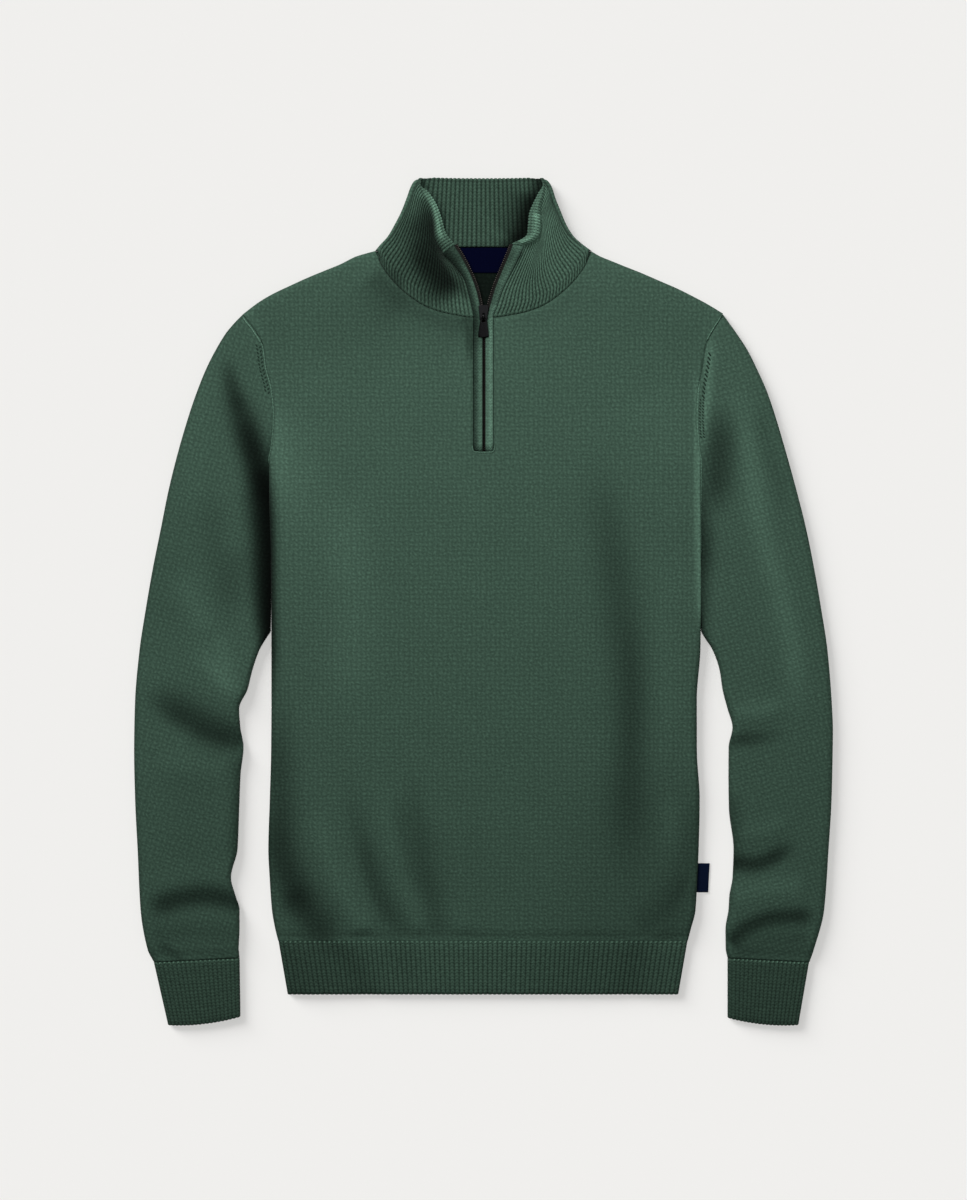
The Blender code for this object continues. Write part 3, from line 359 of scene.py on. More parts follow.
def finish_shader(tree, shader, colour, stops, bumps):
    """Sets the colour, made lighter or darker by stops, and the bumps, each a height and its depth in metres."""
    shade = use_group(tree, "tone_by_stops", Colour=colour, Stops=stops)
    tree.links.new(shade["Colour"], shader.inputs["Base Color"])
    below = {}
    for height, depth in bumps:
        bump = add_node(tree, "ShaderNodeBump", Height=height, Distance=depth, Strength=1.0, **below)
        below = {"Normal": bump.outputs[0]}
    tree.links.new(bump.outputs[0], shader.inputs["Normal"])


def wool(name, slot, colour, depth, pit_shade_stops, mottle, pattern, **sizes):
    """Knitted wool: a stitch pattern that sets both the bump and painted shade in the gaps between stitches, and
    fibres over it.
    """
    made, shader = start_material(name, 0.92, sheen=0.03, specular=0.04)
    tree = made.node_tree
    cut = cut_of(tree)
    stitch = use_group(tree, pattern, Cut=cut, **sizes)
    fibre = use_group(tree, "wool_fibres", Cut=cut, Colour=colour, Mottle=mottle)
    stops = sums(tree, "MULTIPLY_ADD", stitch[1], -pit_shade_stops, tone_of(tree))
    stops = sums(tree, "ADD", stops, pit_shade_stops / 2)
    finish_shader(tree, shader, fibre["Colour"], stops, ((fibre["Height"], FIBRE_DEPTH), (stitch["Height"], depth)))
    print("wool", name, "with", pattern)
    return made


BODY_GREEN = (0.0402, 0.0766, 0.0551, 1)
RIB_GREEN = (0.0406, 0.0768, 0.0548, 1)
FACING_GREEN = (0.0406, 0.0766, 0.0555, 1)
# the dark green of the fashioning marks is painted shade in their small holes
MARK_SHADE_GREEN = (0.0110, 0.0220, 0.0155, 1)

body_knit = wool("body_knit", "green_knit", BODY_GREEN, 0.0002, 0.54, 0.45, "dotted_knit", Dots_per_Metre=215.0)
rib_knit = wool("rib_knit", "green_rib", RIB_GREEN, 0.00045, 0.95, 0.35, "v_stitches",
                Rows_per_Metre=222.0, Stitches_per_Metre=310.0)
facing_knit = wool("facing_knit", "green_knit", FACING_GREEN, 0.0003, 1.1, 1.3, "v_stitches",
                   Rows_per_Metre=340.0, Stitches_per_Metre=330.0)
mark_shade_wool = wool("mark_shade_wool", "green_knit", MARK_SHADE_GREEN, 0.0001, 0.1, 0.35, "v_stitches",
                   Rows_per_Metre=900.0, Stitches_per_Metre=900.0)

# %% [markdown]
# ## Ways to shape cloth
# The outline of each panel comes from a short table of real sizes. A smooth curve through a table's points
# gives the shape between them, and it never swings past them. Folds are soft ridges and troughs along short
# curves that fade out at their ends.

# %% Curves through tables
def smooth(xs, ys, at):
    """A curve through points that doesn't swing past them."""
    xs, ys = np.asarray(xs, float), np.asarray(ys, float)
    step = np.diff(xs)
    slope = np.diff(ys) / step
    lean = np.zeros(len(xs))
    turns = slope[:-1] * slope[1:] > 0
    lean[1:-1][turns] = 2 / (1 / slope[:-1][turns] + 1 / slope[1:][turns])
    lean[0], lean[-1] = slope[0], slope[-1]
    at = np.clip(at, xs[0], xs[-1])
    k = np.clip(np.searchsorted(xs, at, side="right") - 1, 0, len(step) - 1)
    t = (at - xs[k]) / step[k]
    ends = (1 + 2 * t) * (1 - t) ** 2 * ys[k] + t * t * (3 - 2 * t) * ys[k + 1]
    return ends + step[k] * t * (1 - t) * ((1 - t) * lean[k] - t * lean[k + 1])


def read(table, column, at):
    rows = np.array(table, float)
    return smooth(rows[:, 0], rows[:, column], at)


def by_side(table, x, at):
    return np.where(x < 0, read(table, LEFT, at), read(table, RIGHT, at))


def run_of(line):
    return np.concatenate([[0], np.cumsum(np.linalg.norm(np.diff(line, axis=0), axis=1))])


def along(line, share):
    """Points at these shares of a line's length."""
    line = np.array(line, float)
    run = run_of(line)
    return np.stack([np.interp(np.asarray(share) * run[-1], run, line[:, k]) for k in range(line.shape[1])], axis=-1)


def unit(ways):
    return ways / np.linalg.norm(ways, axis=-1, keepdims=True)


def left_of(line):
    """The direction to the left at each point of a line."""
    way = unit(np.gradient(line, axis=0))
    return np.stack([-way[:, 1], way[:, 0]], axis=1)


def beside(line, gap):
    """A line moved sideways, to the left of its direction."""
    return line + gap * left_of(line)


def bent(points, count=14):
    """A smooth line through a few points."""
    points = np.array(points, float)
    run = run_of(points) / run_of(points)[-1]
    return np.stack([smooth(run, points[:, k], np.linspace(0, 1, count)) for k in (0, 1)], axis=1)


def nearest(line, x, y):
    """Distance to a line, the share of its length where it is nearest, and the side: -1 left, 1 right."""
    run = run_of(line)
    best = np.full(np.shape(x), np.inf)
    share, side = np.zeros(np.shape(x)), np.ones(np.shape(x))
    for i in range(len(line) - 1):
        (ax, ay), (dx, dy) = line[i], line[i + 1] - line[i]
        t = np.clip(((x - ax) * dx + (y - ay) * dy) / (dx * dx + dy * dy), 0, 1)
        d = np.hypot(x - ax - t * dx, y - ay - t * dy)
        closer = d < best
        share = np.where(closer, (run[i] + t * (run[i + 1] - run[i])) / run[-1], share)
        side = np.where(closer, np.sign((x - ax) * dy - (y - ay) * dx), side)
        best = np.where(closer, d, best)
    return best, share, side


def bell(distance, reach):
    """1 at distance 0, and nearly 0 from twice the reach on."""
    return np.exp(-((distance / reach) ** 2))


def eased(share):
    """From 0 to 1 with a soft start and a soft end."""
    share = np.clip(share, 0, 1)
    return share * share * (3 - 2 * share)


def folds(table, x, y):
    """Height and tone that a table of folds adds; the tone is painted shade in a trough and painted highlight on
    a ridge. A row has x and y of the fold's points in turn, its half width to the left and to the right, its
    height, its tone, and the shares of its length over which it fades at the start and at the end."""
    height, tone = np.zeros((2,) + np.shape(x))
    for points, left, right, rise, stops, *fades in table:
        away, share, side = nearest(bent(np.reshape(points, (-1, 2))), x, y)
        shape = bell(away, np.where(side < 0, left, right))
        faded = [np.clip(run / fade, 0, 1) for run, fade in zip((share, 1 - share), fades) if fade]
        if faded:
            shape = shape * eased(np.min(faded, axis=0))
        height += rise * shape
        tone += stops * shape
    return height, tone


def rim_tone(distance, stops=-0.35, reach=2.6):
    """The tone of a free edge, where the cloth turns away from the light."""
    return stops * bell(distance, reach)


def rolled(distance, reach):
    """From 0 at an edge to 1 at reach, as a quarter round."""
    q = 1 - np.clip(distance / reach, 0, 1)
    return np.sqrt(np.maximum(0, 1 - q * q))


def grid_of(x, y):
    """A grid of points from x and y, each a number, a row or a column."""
    return np.stack(np.broadcast_arrays(x, y), axis=-1)


def lifted(plan, z):
    """Plan points with a height."""
    return np.concatenate([plan, np.broadcast_to(z, plan.shape[:-1])[..., None]], axis=-1)


# %% [markdown]
# Cloth is a thin closed layer: an upper grid of points, a lower grid, and a rim between them. One helper joins
# the two grids, leaves out cells where the cloth is cut open, and stores the cut map and the tone. Another hands
# the finished piece over: the body that it rides on, the plain part that it stands for, and its finish.

# %% Cloth meshes
CORNERS = ((0, 0), (0, 1), (1, 1), (1, 0))
NEIGHBOURS = ((-1, 0), (0, 1), (1, 0), (0, -1))


def sandwich(upper, lower, keep=None):
    """Points and faces of a closed layer between two like grids."""
    rows, columns = upper.shape[:2]
    keep = np.ones((rows - 1, columns - 1), bool) if keep is None else keep
    top_ids = np.arange(rows * columns).reshape(rows, columns)
    low_ids = top_ids + top_ids.size
    cells = np.argwhere(keep)
    around = np.pad(keep, 1)
    faces = []
    for ids in (top_ids, low_ids):
        faces.append(np.stack([ids[cells[:, 0] + r, cells[:, 1] + c] for r, c in CORNERS], axis=1))
    for k, (dr, dc) in enumerate(NEIGHBOURS):
        edge = cells[~around[cells[:, 0] + 1 + dr, cells[:, 1] + 1 + dc]]
        (ar, ac), (br, bc) = CORNERS[k], CORNERS[(k + 1) % 4]
        a, b = (edge[:, 0] + ar, edge[:, 1] + ac), (edge[:, 0] + br, edge[:, 1] + bc)
        faces.append(np.stack([top_ids[a], top_ids[b], low_ids[b], low_ids[a]], axis=1))
    points = np.concatenate([upper.reshape(-1, 3), lower.reshape(-1, 3)])
    return points, np.concatenate(faces)


def ring_wall(outer, inner):
    """Points and faces of a tube wall between two like grids whose columns go all round."""
    rows, columns = outer.shape[:2]
    faces, ids = [], []
    for k in range(2):
        grid = k * rows * columns + np.arange(rows * columns).reshape(rows, columns)
        grid = np.concatenate([grid, grid[:, :1]], axis=1)
        ids.append(grid)
        faces.append(np.stack([grid[:-1, :-1], grid[:-1, 1:], grid[1:, 1:], grid[1:, :-1]], axis=-1).reshape(-1, 4))
    for row in (0, -1):
        a, b = ids[0][row], ids[1][row]
        faces.append(np.stack([a[:-1], a[1:], b[1:], b[:-1]], axis=1))
    return np.concatenate([outer.reshape(-1, 3), inner.reshape(-1, 3)]), np.concatenate(faces)


def hand_over(mesh, cut, tone, material, nodes=(), body=SWEATER):
    """Stores the cut map and the tone, a value for each point, and hands the piece over."""
    loops = np.zeros(len(mesh.loops), np.int32)
    mesh.loops.foreach_get("vertex_index", loops)
    mesh.uv_layers.new(name=CUT_MAP).data.foreach_set("uv", (cut[loops] * MM).astype(np.float32).ravel())
    mesh.attributes.new(TONE, "FLOAT", "POINT").data.foreach_set("value", tone.astype(np.float32))
    mesh.shade_smooth()
    mesh.materials.append(material)
    piece = bpy.data.objects.new(mesh.name, mesh)
    scene.collection.objects.link(piece)
    cloth_light.objects.link(piece)
    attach(piece, body)
    if nodes:
        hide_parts(*nodes)
    print(f"{piece.name}: {len(mesh.polygons)} faces")
    return piece


def both_layers(values, shape):
    """The same values for the points of the upper and of the lower grid."""
    values = np.broadcast_to(values, shape + np.shape(values)[2:])
    return np.concatenate([values.reshape((-1,) + values.shape[2:])] * 2)


def make_piece(name, upper, lower, material, *nodes, cut=None, tone=0.0, keep=None, tube=False, body=SWEATER):
    """A closed layer or tube wall from two grids in millimetres. Without a cut the cloth lies as it was cut."""
    points, faces = ring_wall(upper, lower) if tube else sandwich(upper, lower, keep)
    cut = points[:, :2] if cut is None else both_layers(cut, upper.shape[:2])
    tone = both_layers(tone, upper.shape[:2])
    used, faces = np.unique(faces, return_inverse=True)
    mesh = bpy.data.meshes.new(name)
    mesh.from_pydata((points[used] * MM).tolist(), [], faces.reshape(-1, 4).tolist())
    work = bmesh.new()
    work.from_mesh(mesh)
    bmesh.ops.recalc_face_normals(work, faces=work.faces)
    work.to_mesh(mesh)
    work.free()
    return hand_over(mesh, cut[used], tone[used], material, nodes, body)


# %% [markdown]
# ## Front and back
# The front is one knitted panel with a slit for the zip. Its sides and shoulders roll over to meet the back
# below. It could be a flat plane pushed about by hand, but a grid that is worked out from the side seam, the
# shoulder and the neckline keeps its edges exactly on the seams. The grid is finer beside the edges, where the
# cloth turns fast.

# %% Sizes of the cloth
WALL, SEAM = 2.2, 0.3
CURVED_SEAM = 0.05
BODY_LOFT, SLEEVE_LOFT = 8.4, 8.8
SEAM_HEIGHT, EDGE_HEIGHT, SIDE_HEIGHT = 5.6, 3.4, 2.6
FLAT_MIN = 4.8
ROLL = 7.0
SEWN_EDGE, SEWN_ROLL = 6.9, 3.2
UNDERARM_Y = 41.0
FRONT_UNDER = WALL + SEAM
HEM_SEAM_Y, HEM_LOFT, HEM_EASE = -328.8, 6.0, 12.0
NECK_HALF, SHOULDER_END_Y = 105.0, 279.4
SLIT_HALF, SLIT_FOOT_Y = 10.0, 145.4
# height y from which a side is sewn to the sleeve, and the length over which that starts
SEWN_FROM = {LEFT: (61.0, 90.0), RIGHT: (-60.0, 40.0)}

# height y, left half width, right half width
SIDE_SEAM = (
    (-328.8, 199.5, 198.5), (-318, 202.2, 201.3), (-299, 205.5, 206), (-270, 207.6, 207.6), (-240, 209, 209),
    (-192, 207.6, 210), (-144, 206.3, 207.3), (-95, 206, 207.2), (-46, 206, 210.6), (41, 206.6, 211.3),
    (99, 208, 211), (137, 208, 210.9), (150, 205.6, 208.9), (181, 203.2, 207), (205, 205.3, 208.3), (228, 211, 212.2),
    (248.3, 213.9, 215.6), (279.4, 233.8, 232.6),
)

# distance from the centre line, left height y, right height y
SHOULDER = (
    (105, 341, 340.4), (113, 338.8, 335.8), (124, 335.5, 331.3), (139, 328, 325.2), (152, 322.7, 320.1),
    (170, 315.3, 312.3), (188, 307.1, 304.5), (205, 299, 296), (218, 291.3, 289), (233.8, 279.4, 279.4),
)

# distance from the centre line, height y of the front neck seam
NECKLINE = (
    (0, 276.2), (10, 276.2), (26, 278.2), (42, 281.6), (58, 287.6), (74, 298.4), (88, 311.6), (98.5, 325.9),
    (105, 341),
)
BACK_NECK_Y, BACK_NECK_DROP = 345.0, 4.4
print("from the hem seam to the shoulder's end:", SHOULDER_END_Y - HEM_SEAM_Y, "mm")

# %% Folds of the body
# points, half width to the left and right, height, tone (painted shade below 0, painted highlight above 0), share
# that fades at the start and at the end
BODY_FOLDS = (
    ((-188, 172, -160, 80, -130, -17), 26, 30, 1.8, 0.1, 0.3, 0.4),
    ((-190, 205, -190, 120, -184, 0), 22, 24, 0.8, 0.16, 0.25, 0.5),
    ((208, 235, 208, 120, 208.5, 60, 210, 0, 211, -30), 4, 4, 0, 0.85, 0.15, 0.1),
    ((-206, 200, -203, 165, -200, 130, -196, 90), 14, 9, 0.3, 0.28, 0.25, 0.35),
    ((140, -150, 148, -240, 130, -330), 70, 60, 0, -0.24, 0.3, 0),
    ((184, -180, 182, -225, 172, -250), 12, 12, 0, 0.2, 0.3, 0.4),
    ((200, -258, 188, -292, 172, -328), 22, 8, 0, -0.3, 0.3, 0),
    ((-84, -180, -76, -225, -66, -262, -50, -300), 10, 10, -0.8, -0.34, 0.3, 0.3),
    ((-118, -225, -112, -260, -96, -300, -84, -318), 10, 8, -0.6, -0.24, 0.3, 0.2),
    ((-128, 130, -128, 20, -128, -120), 24, 24, 0, 0.2, 0.3, 0.3),
    ((150, 212, 182, 175, 194, 120), 26, 26, 0, 0.1, 0.3, 0.3),
    ((-40, -200, -34, -235, -28, -300), 26, 26, 0, -0.13, 0.3, 0.2),
    ((-192, -272, -180, -296, -166, -318, -158, -330), 12, 12, -0.6, -0.75, 0.3, 0),
    ((-16, 284, -14, 262, -13, 245, -13, 225), 5, 5, 0, -1, 0.1, 0.5),
    ((-209, 152, -208, 99, -207, 60, -206.7, 0, -206, -60, -206, -110), 6, 6, 0, -2.1, 0.3, 0.3),
    ((-207, -190, -204, -240, -188, -280, -168, -306), 14, 14, -0.6, -0.75, 0.4, 0.2),
    ((-225, 262, -150, 275, -60, 262), 45, 45, 0, -0.24, 0.1, 0.3),
    ((60, 268, 140, 275, 215, 255), 40, 40, 0, -0.12, 0.3, 0.1),
    ((-118, 318, -98, 300, -70, 284), 16, 22, 0, -0.28, 0.2, 0.3),
    ((150, 220, 170, 150, 176, 60), 30, 30, 0.8, 0.06, 0.3, 0.5),
    ((-207, -60, -201, -150, -192, -245, -160, -308, -136, -336), 16, 12, -1.8, -0.85, 0.4, 0.1),
    ((-168, -192, -136, -286, -112, -326), 12, 12, 2.6, 0.16, 0.4, 0.1),
    ((-136, -165, -114, -250, -93, -303, -76, -330), 12, 8, -2.2, -0.46, 0.5, 0.05),
    ((-102, -182, -76, -270, -61, -325), 10, 10, 2, 0.12, 0.4, 0.1),
    ((-72, -150, -58, -240, -45, -312, -40, -330), 10, 9, -2, -0.4, 0.5, 0.05),
    ((-28, -192, -22, -270, -16, -325), 11, 11, 1.4, 0.08, 0.4, 0.1),
    ((104, 158, 128, 40, 144, -110, 140, -292), 18, 20, -2.8, -0.62, 0.3, 0.22),
    ((140, 10, 145, -110, 141, -210), 11, 11, -0.8, -0.25, 0.4, 0.4),
    ((180, 60, 182, -60, 178, -170), 16, 16, 1.4, 0.1, 0.3, 0.3),
    ((208, -170, 203, -250, 182, -292, 148, -328), 8, 16, -1.4, -0.4, 0.4, 0.1),
    ((-108, 322, -84, 300, -52, 280, -12, 270), 8, 13, 0, -0.5, 0.1, 0.1),
    ((-110, 306, -70, 272, -20, 250), 20, 26, 0, -0.16, 0.3, 0.1),
    ((20, 266, 70, 284, 98, 312), 9, 9, 0, -0.16, 0.3, 0.3),
)


def top_line(x, neck):
    return np.where(np.abs(x) < NECK_HALF, neck(x), by_side(SHOULDER, x, np.abs(x)))


def front_neck(x):
    return read(NECKLINE, 1, np.abs(x))


def back_neck(x):
    return BACK_NECK_Y - BACK_NECK_DROP * (x / NECK_HALF) ** 2


print("folds on the body:", len(BODY_FOLDS))


# %% Grid of a body panel
EDGE_STEPS = (0.0, 0.5, 1.2, 2.2, 3.6, 5.4, 7.6)
HEM_SEAM_TONE, HEM_SEAM_REACH = 0.25, 6.5


def places_between(low, high, step):
    """Places from low to high, a step apart, with finer ones beside both ends."""
    finer = np.array(EDGE_STEPS)
    middle = np.linspace(low + finer[-1], high - finer[-1], max(2, int(round((high - low - 2 * finer[-1]) / step))))
    return np.unique(np.concatenate([low + finer, middle, high - finer]))


def panel_plan(neck, step):
    """Plan points of a body panel, rows from the hem to the shoulder."""
    count = int(round((NECK_HALF - SLIT_HALF) / step))
    inner = np.concatenate([[0.0, 5.0], np.linspace(SLIT_HALF, NECK_HALF, count)])
    outer = 1 - places_between(0, NECK_HALF, step)[::-1] / NECK_HALF
    half = [(x, 0.0) for x in inner] + [(NECK_HALF, f) for f in outer[1:]]
    rows = places_between(HEM_SEAM_Y, SHOULDER_END_Y, step)
    rise = (rows - rows[0]) / (rows[-1] - rows[0])
    lines = []
    for x, share in [(-x, -f) for x, f in reversed(half[1:])] + half:
        across = x + share * (read(SIDE_SEAM, LEFT if x < 0 else RIGHT, rows) - NECK_HALF)
        top = top_line(across[-1], neck) if share else neck(x)
        lines.append(grid_of(across, rows[0] + rise * (top - rows[0])))
    return np.stack(lines, axis=1)


def seam_tone(y):
    """Lighter beside the hem seam."""
    return HEM_SEAM_TONE * bell(y - HEM_SEAM_Y, HEM_SEAM_REACH)


def front_surface(x, y):
    """Height and tone of the front's upper side."""
    height, tone = folds(BODY_FOLDS, x, y)
    loft = np.maximum(FLAT_MIN, BODY_LOFT + height)
    sewn = np.where(x < 0, *(np.clip((y - start) / length, 0, 1) for start, length in SEWN_FROM.values()))
    side_edge = EDGE_HEIGHT + sewn * (SEWN_EDGE - EDGE_HEIGHT)
    from_side = by_side(SIDE_SEAM, x, y) - np.abs(x)
    top = side_edge + (loft - side_edge) * rolled(from_side, ROLL + sewn * (SEWN_ROLL - ROLL))
    at_neck = np.abs(x) < NECK_HALF
    top_edge, reach = np.where(at_neck, SEAM_HEIGHT, EDGE_HEIGHT), np.where(at_neck, SEWN_ROLL, ROLL)
    top = np.minimum(top, top_edge + (loft - top_edge) * rolled(top_line(x, front_neck) - y, reach))
    top = np.minimum(top, HEM_LOFT + (loft - HEM_LOFT) * eased((y - HEM_SEAM_Y) / HEM_EASE))
    return top, tone + rim_tone(from_side) * (1 - sewn) + seam_tone(y)


# %% Make the front
FRONT_STEP, BACK_STEP = 3.0, 5.0

plan = panel_plan(front_neck, FRONT_STEP)
top, tone = front_surface(plan[..., 0], plan[..., 1])
cells = (plan[:-1, :-1] + plan[1:, 1:]) / 2
keep = ~((np.abs(cells[..., 0]) < SLIT_HALF) & (cells[..., 1] > SLIT_FOOT_Y))
under = np.maximum(FRONT_UNDER, top - WALL)
front = make_piece("front_panel", lifted(plan, top), lifted(plan, under), body_knit, "front", tone=tone, keep=keep)

# %% [markdown]
# The back is the same panel with a higher neck. It lies flat on the floor, so its form is plain. Its inside
# shows in the neck, in the shade of the collar.

# %% Make the back
BACK_EDGE_ROUND, BACK_EDGE_REACH = 0.8, 2.0
NECK_SHADE = ((0, 338, 0, 300, 0, 262), 44, 44, 0, -3.8, 0, 0)

plan = panel_plan(back_neck, BACK_STEP)
x, y = plan[..., 0], plan[..., 1]
from_edge = np.minimum(by_side(SIDE_SEAM, x, y) - np.abs(x), top_line(x, back_neck) - y)
top = WALL - BACK_EDGE_ROUND * (1 - rolled(from_edge, BACK_EDGE_REACH))
tone = folds((NECK_SHADE,), x, y)[1]
back = make_piece("back_panel", lifted(plan, top), lifted(plan, 0.0), body_knit, "back", tone=tone)

# %% [markdown]
# ## Sleeves
# A sleeve is a knitted tube, pressed flat. Its sections run from the armhole to the cuff, and the first ones
# bend to follow the armhole's curve. The deep crease where the left sleeve meets the body and the folds at the
# elbows are troughs with their own width on each side.

# %% Sizes of the sleeves
# height y, left outer edge, right outer edge
SLEEVE_OUTER = (
    (-356, 317, 314.6), (-349.2, 320.6, 317), (-337.6, 326.4, 321), (-299, 333.2, 331), (-240, 336.1, 335.3),
    (-192, 338.5, 338.2), (-143.6, 339.5, 339.3), (-125, 339.3, 339.5), (-95, 338.5, 338.2), (-46.6, 334.2, 334.2),
    (-7.8, 328.3, 328.3), (31, 321.6, 321.6), (69.8, 313.8, 313.8), (108.6, 306, 304.1), (147.4, 296.3, 293.4),
    (186.2, 284.7, 281.8), (205.6, 277.9, 275), (225, 270.1, 266.3), (244.4, 260.4, 256.6), (265.8, 246.9, 242.5),
    (279.4, 233.8, 232.6),
)

# height y, left inner edge, right inner edge
SLEEVE_INNER = (
    (-346, 237.2, 237.2), (-337, 238, 235.4), (-318, 237.2, 235.2), (-299, 237.2, 238.1), (-286, 241, 238.9),
    (-268, 245.5, 242), (-240, 239.1, 243), (-200, 237.5, 238.5), (-168, 236.2, 238.1), (-141, 233.3, 238.3),
    (-122, 236.4, 242), (-104, 237.6, 237.2), (-85, 229.4, 232.3), (-66, 224.6, 229.4), (-46.6, 217.8, 222.6),
    (-34, 210.4, 214.6), (-28, 206.9, 211.6), (2, 206.4, 209.4), (41, 206.7, 211.4),
)

# Sections across a sleeve: height y on its outer edge, height y on its inner edge
SLEEVE_SECTIONS = (
    (279.4, 41), (262, 37), (240, 31), (212, 23), (180, 13), (145, 3), (105, -7), (62, -17), (20, -27), (-20, -37),
    (-46, -50), (-72, -66), (-95, -85), (-116, -104), (-137, -122), (-158, -141), (-185, -168), (-215, -200),
    (-245, -240), (-272, -268), (-292, -286), (-312, -302), (-333, -325), (-349.5, -345.5),
)
CAP_SECTIONS, CAP_UNDER = 9, 0.2
SLEEVE_ROWS = 230
CUFF_SEAM_Y, CUFF_FADE, CUFF_LOFT = -346.0, 12.0, 6.9
# the line of the armhole goes on down the gap below the underarm: x and heights y
GAP_X, GAP_YS = 206.9, (20.0, 0.0, -20.0, -34.0)
print("sections of a sleeve:", len(SLEEVE_SECTIONS), "rows:", SLEEVE_ROWS)

# %% Folds of the sleeves
# points, half width to the left and right, height, tone (painted shade below 0, painted highlight above 0), share
# that fades at the start and at the end
SLEEVE_FOLDS = {
    LEFT: (
        ((-251, 240, -248, 228, -245.5, 214, -241, 197, -234, 176), 7.5, 7.5, -2, -1, 0.45, 0.3),
        ((-246, 222, -233, 176, -221, 138, -215, 112, -211, 92), 12, 12, -4, -3.1, 0.62, 0.25),
        ((-226, 272, -285, 165, -318, 30, -325, -70), 60, 60, 0, -0.17, 0, 0.2),
        ((-300, 30, -280, -5, -262, -40), 12, 14, 0.8, 0.24, 0.3, 0.3),
        ((-262, 110, -262, 60, -254, 20, -250, -10), 14, 14, -0.8, -0.26, 0.3, 0.3),
        ((-266, 240, -280, 150, -290, 60), 18, 18, 1.8, 0.14, 0.3, 0.3),
        ((-236, 60, -246, 0, -262, -30), 14, 14, -1, -0.3, 0.3, 0.4),
        ((-330, -82, -300, -108, -275, -122, -255, -130, -232, -138), 18, 11, -3.4, -1.35, 0.42, 0.05),
        ((-290, -122, -268, -131, -244, -138), 9, 14, 0, -0.32, 0.4, 0.2),
        ((-262, -28, -251, -50, -241, -72), 10, 8, 0, 0.26, 0.3, 0.3),
        ((-285, -150, -280, -210, -278, -262), 36, 36, 0, -0.12, 0.2, 0.2),
        ((-290, -34, -265, -64, -246, -86, -232, -101), 12, 12, 2.8, 0.4, 0.65, 0.3),
        ((-322, -150, -285, -165, -246, -172), 14, 14, 1.2, 0.05, 0.3, 0.2),
        ((-240, -140, -238, -200, -242, -262), 6, 8, -0.8, -0.5, 0.2, 0.2),
        ((-330, -302, -294, -290, -270, -287, -234, -293), 11, 9.5, -3, -1.45, 0.25, 0.05),
        ((-326, -322, -280, -316, -238, -320), 12, 12, 0.8, -0.3, 0.1, 0.1),
        ((-316, -332, -306, -338, -290, -350), 4, 4, -0.8, -0.55, 0.2, 0.2),
    ),
    RIGHT: (
        ((236, 198, 232.5, 172, 228, 124, 221, 72), 15, 14, -2.6, -1.15, 0.4, 0.38),
        ((245, 222, 251, 176, 263, 118, 273, 60, 291, 2, 303, -60, 308, -130), 13, 13, 2.4, 0.4, 0.2, 0.2),
        ((268, 200, 278, 150, 288, 116, 296, 70), 8, 10, -1, -0.22, 0.3, 0.3),
        ((223, 262, 219, 235, 217, 200, 214, 165, 213, 130), 5.5, 5, 0.6, 0.7, 0.2, 0.3),
        ((239, -180, 243, -222, 240, -272), 8, 8, 0, -0.5, 0.2, 0.2),
        ((238, -136, 262, -135, 300, -128), 8, 7, -2.4, -0.85, 0.05, 0.8),
        ((240, -110, 270, -108, 300, -94), 10, 10, 2.2, 0.2, 0.15, 0.4),
        ((238, -253, 262, -256, 284, -248, 306, -232), 8, 7, -2.6, -1.4, 0.08, 0.4),
        ((240, -228, 270, -224, 302, -208), 9, 9, 1.6, 0.12, 0.3, 0.3),
        ((237, -334, 258, -317, 284, -308, 326, -306), 8, 8, -2.8, -1.3, 0.08, 0.2),
        ((240, -288, 275, -279, 318, -276), 12, 12, 1.4, 0.34, 0.1, 0.2),
        ((240, -338, 285, -328, 318, -326), 9, 9, 0, -0.35, 0.1, 0.1),
    ),
}

# height -y on the armhole seam, then the height of the sleeve's surface there, how far that dives, and its tone:
# painted shade in the crease beside the seam
SEAM_DIVE = {
    LEFT: (
        (-279.4, 6.9, 3.2, 0), (-200, 6.8, 3.4, 0), (-165, 6, 6, 0), (-138, 5, 12, -0.4), (-118, 3.6, 18, -2.6),
        (-99, 3.2, 20, -5), (-60, 3, 18, -4.9), (-21, 3, 17, -4.9), (12, 3, 14.2, -5), (34, 2.8, 12, -4.2),
    ),
    RIGHT: (
        (-279.4, 6.9, 3.2, 0), (-170, 6.9, 3.4, 0), (-120, 6, 5, -0.3), (-60, 4, 13, -1.6), (-2, 3.2, 11, -2.1),
        (34, 2.8, 10, -2),
    ),
}


def armhole(side):
    """The armhole seam from the shoulder point to the underarm, on the sleeve's side of the gap."""
    y = np.linspace(SHOULDER_END_Y, UNDERARM_Y, 90)
    return beside(grid_of(SIGN[side] * read(SIDE_SEAM, side, y), y), SIGN[side] * CURVED_SEAM)


def sleeve_plan(side, shares):
    """Plan points of a sleeve, rows from the cap to the cuff. The first rows bend like the armhole."""
    cap = along(beside(armhole(side), -SIGN[side] * CAP_UNDER), shares)
    bulge = cap - (cap[0] + shares[:, None] * (cap[-1] - cap[0]))
    sections = np.arange(len(SLEEVE_SECTIONS))
    rows = []
    for k in np.linspace(0, sections[-1], SLEEVE_ROWS):
        ends = []
        for column, table in enumerate((SLEEVE_OUTER, SLEEVE_INNER)):
            y = smooth(sections, np.array(SLEEVE_SECTIONS)[:, column], k)
            ends.append(np.array([SIGN[side] * read(table, side, y), y]))
        start, end = ends
        if k < 1:
            start, end = cap[0] + k * (start - cap[0]), cap[-1] + k * (end - cap[-1])
        rows.append(start + shares[:, None] * (end - start) + max(0.0, 1 - k / CAP_SECTIONS) ** 2 * bulge)
    return np.stack(rows)


